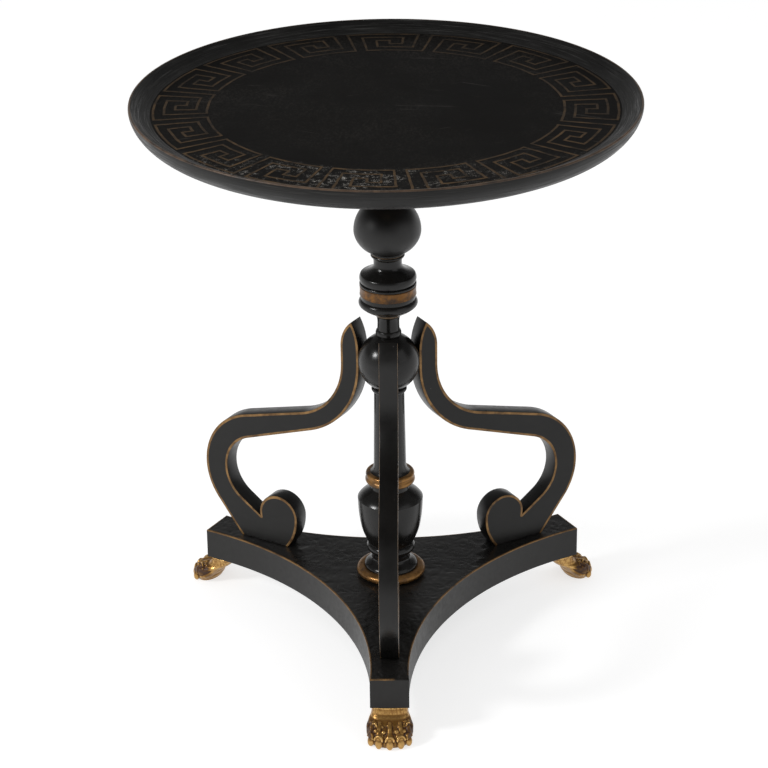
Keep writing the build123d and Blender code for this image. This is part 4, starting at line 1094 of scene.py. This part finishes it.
border.links.new(under.outputs["Mesh"], both.inputs["Geometry"])
closed = node(border, "GeometryNodeMergeByDistance", {
    "Geometry": both.outputs["Geometry"], "Distance": 1e-6,
})
whole = node(border, "GeometryNodeRealizeInstances", {"Geometry": closed.outputs["Geometry"]})
gilded = node(border, "GeometryNodeSetMaterial", {
    "Geometry": whole.outputs["Geometry"], "Material": given["Finish"],
})
finished = border.nodes.new("NodeGroupOutput")
border.links.new(gilded.outputs["Geometry"], finished.inputs["Geometry"])
unit.modifiers.new("border", "NODES").node_group = border
laid_out = unit.evaluated_get(bpy.context.evaluated_depsgraph_get())
key_data = bpy.data.meshes.new_from_object(laid_out)
bpy.data.objects.remove(unit)
key_border = in_scene("greek_key_border", key_data)
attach(key_border, "top")

# ---------------------------------------------------------------- barrel bolt and keeper
# A small brass bolt, bought in and screwed under the top. Its rod shoots through a brass
# keeper into the block and holds the top level.
eased("bolt_housing", 0.0004, bolt_brass, "top")
eased("keeper_plate", 0.0003, bolt_brass, "stand")
finish_nodes(bolt_brass, "slide_bolt")
finish_nodes(screw_brass, *[f"housing_screw_{number}" for number in (1, 2, 3, 4)])
finish_nodes(screw_brass, "keeper_screw_1", "keeper_screw_2")

# ---------------------------------------------------------------- floor, light and camera
# A plain white floor that keeps the table's shadow, an even white surrounding, a soft lamp
# high at the left front, and the camera a little above the top's height.
floor_half = 14


def rays(tree):
    """Whether a ray comes straight from the camera, and whether off or through something."""
    path = node(tree, "ShaderNodeLightPath").outputs
    mirrored = worked(tree, "MAXIMUM", path["Is Glossy Ray"], path["Is Transmission Ray"])
    return path["Is Camera Ray"], mirrored


floor_mesh = bpy.data.meshes.new("floor")
floor_mesh.from_pydata([(x * floor_half, y * floor_half, 0)
                        for x, y in ((-1, -1), (1, -1), (1, 1), (-1, 1))], [], [(0, 1, 2, 3)])
floor = in_scene("floor", floor_mesh)
floor_white, tree, shader, _ = new_finish("floor_white")
shader.inputs["Base Color"].default_value = (0.46, 0.46, 0.46, 1)
shader.inputs["Roughness"].default_value = 0.9
shader.inputs["Specular IOR Level"].default_value = 0.1
shader.inputs["Emission Color"].default_value = (1, 1, 1, 1)
straight, mirrored = rays(tree)
seen = worked(tree, "MAXIMUM", straight, mirrored)
tree.links.new(product(tree, seen, 0.68), shader.inputs["Emission Strength"])
floor_mesh.materials.append(floor_white)

world = bpy.data.worlds.new("white_room")
bpy.context.scene.world = world
world.use_nodes = True
tree = world.node_tree
backdrop = tree.nodes["Background"]
backdrop.inputs["Color"].default_value = (1, 1, 1, 1)
straight, mirrored = rays(tree)
seen = worked(tree, "MAXIMUM", straight, mirrored)
generated = node(tree, "ShaderNodeTexCoord").outputs["Generated"]
height = node(tree, "ShaderNodeSeparateXYZ", {"Vector": generated}).outputs["Z"]
mirrored = product(tree, mirrored, between(tree, height, 0.02, 0.30, 1.0, 0.16))
shown_white = worked(tree, "MAXIMUM", mirrored, straight)
lighting = between(tree, seen, 0, 1, 0.62, 0)
tree.links.new(total(tree, shown_white, lighting), backdrop.inputs["Strength"])


def soft_lamp(name, place, aim, width, power):
    """A square soft lamp that faces its aim."""
    data = bpy.data.lights.new(name, "AREA")
    data.shape, data.size, data.energy = "SQUARE", width, power
    lamp = in_scene(name, data)
    lamp.location = place
    lamp.rotation_euler = (Vector(aim) - Vector(place)).to_track_quat("-Z", "Y").to_euler()


soft_lamp("left_lamp", (-2.3, -1.1, 1.9), (0, 0, 0.35), 0.55, 42)
soft_lamp("right_lamp", (2.6, -1.6, 2.0), (0, 0, 0.35), 2.4, 12)

view = bpy.data.cameras.new("camera")
camera = in_scene("camera", view)
view.lens, view.sensor_width = 131.88, 36
view.shift_x, view.shift_y = -0.0065, -0.0091
view.clip_start, view.clip_end = 0.05, 60
camera.location = (0.0383, -2.8998, 1.6764)
aim = (Vector((0, 0, 0.3245)) - camera.location).to_track_quat("-Z", "Y").to_matrix()
roll = Matrix.Rotation(-0.0111, 3, "Z")
camera.rotation_euler = (aim @ roll).to_euler()
bpy.context.scene.camera = camera
bpy.context.scene.view_settings.view_transform = "Standard"
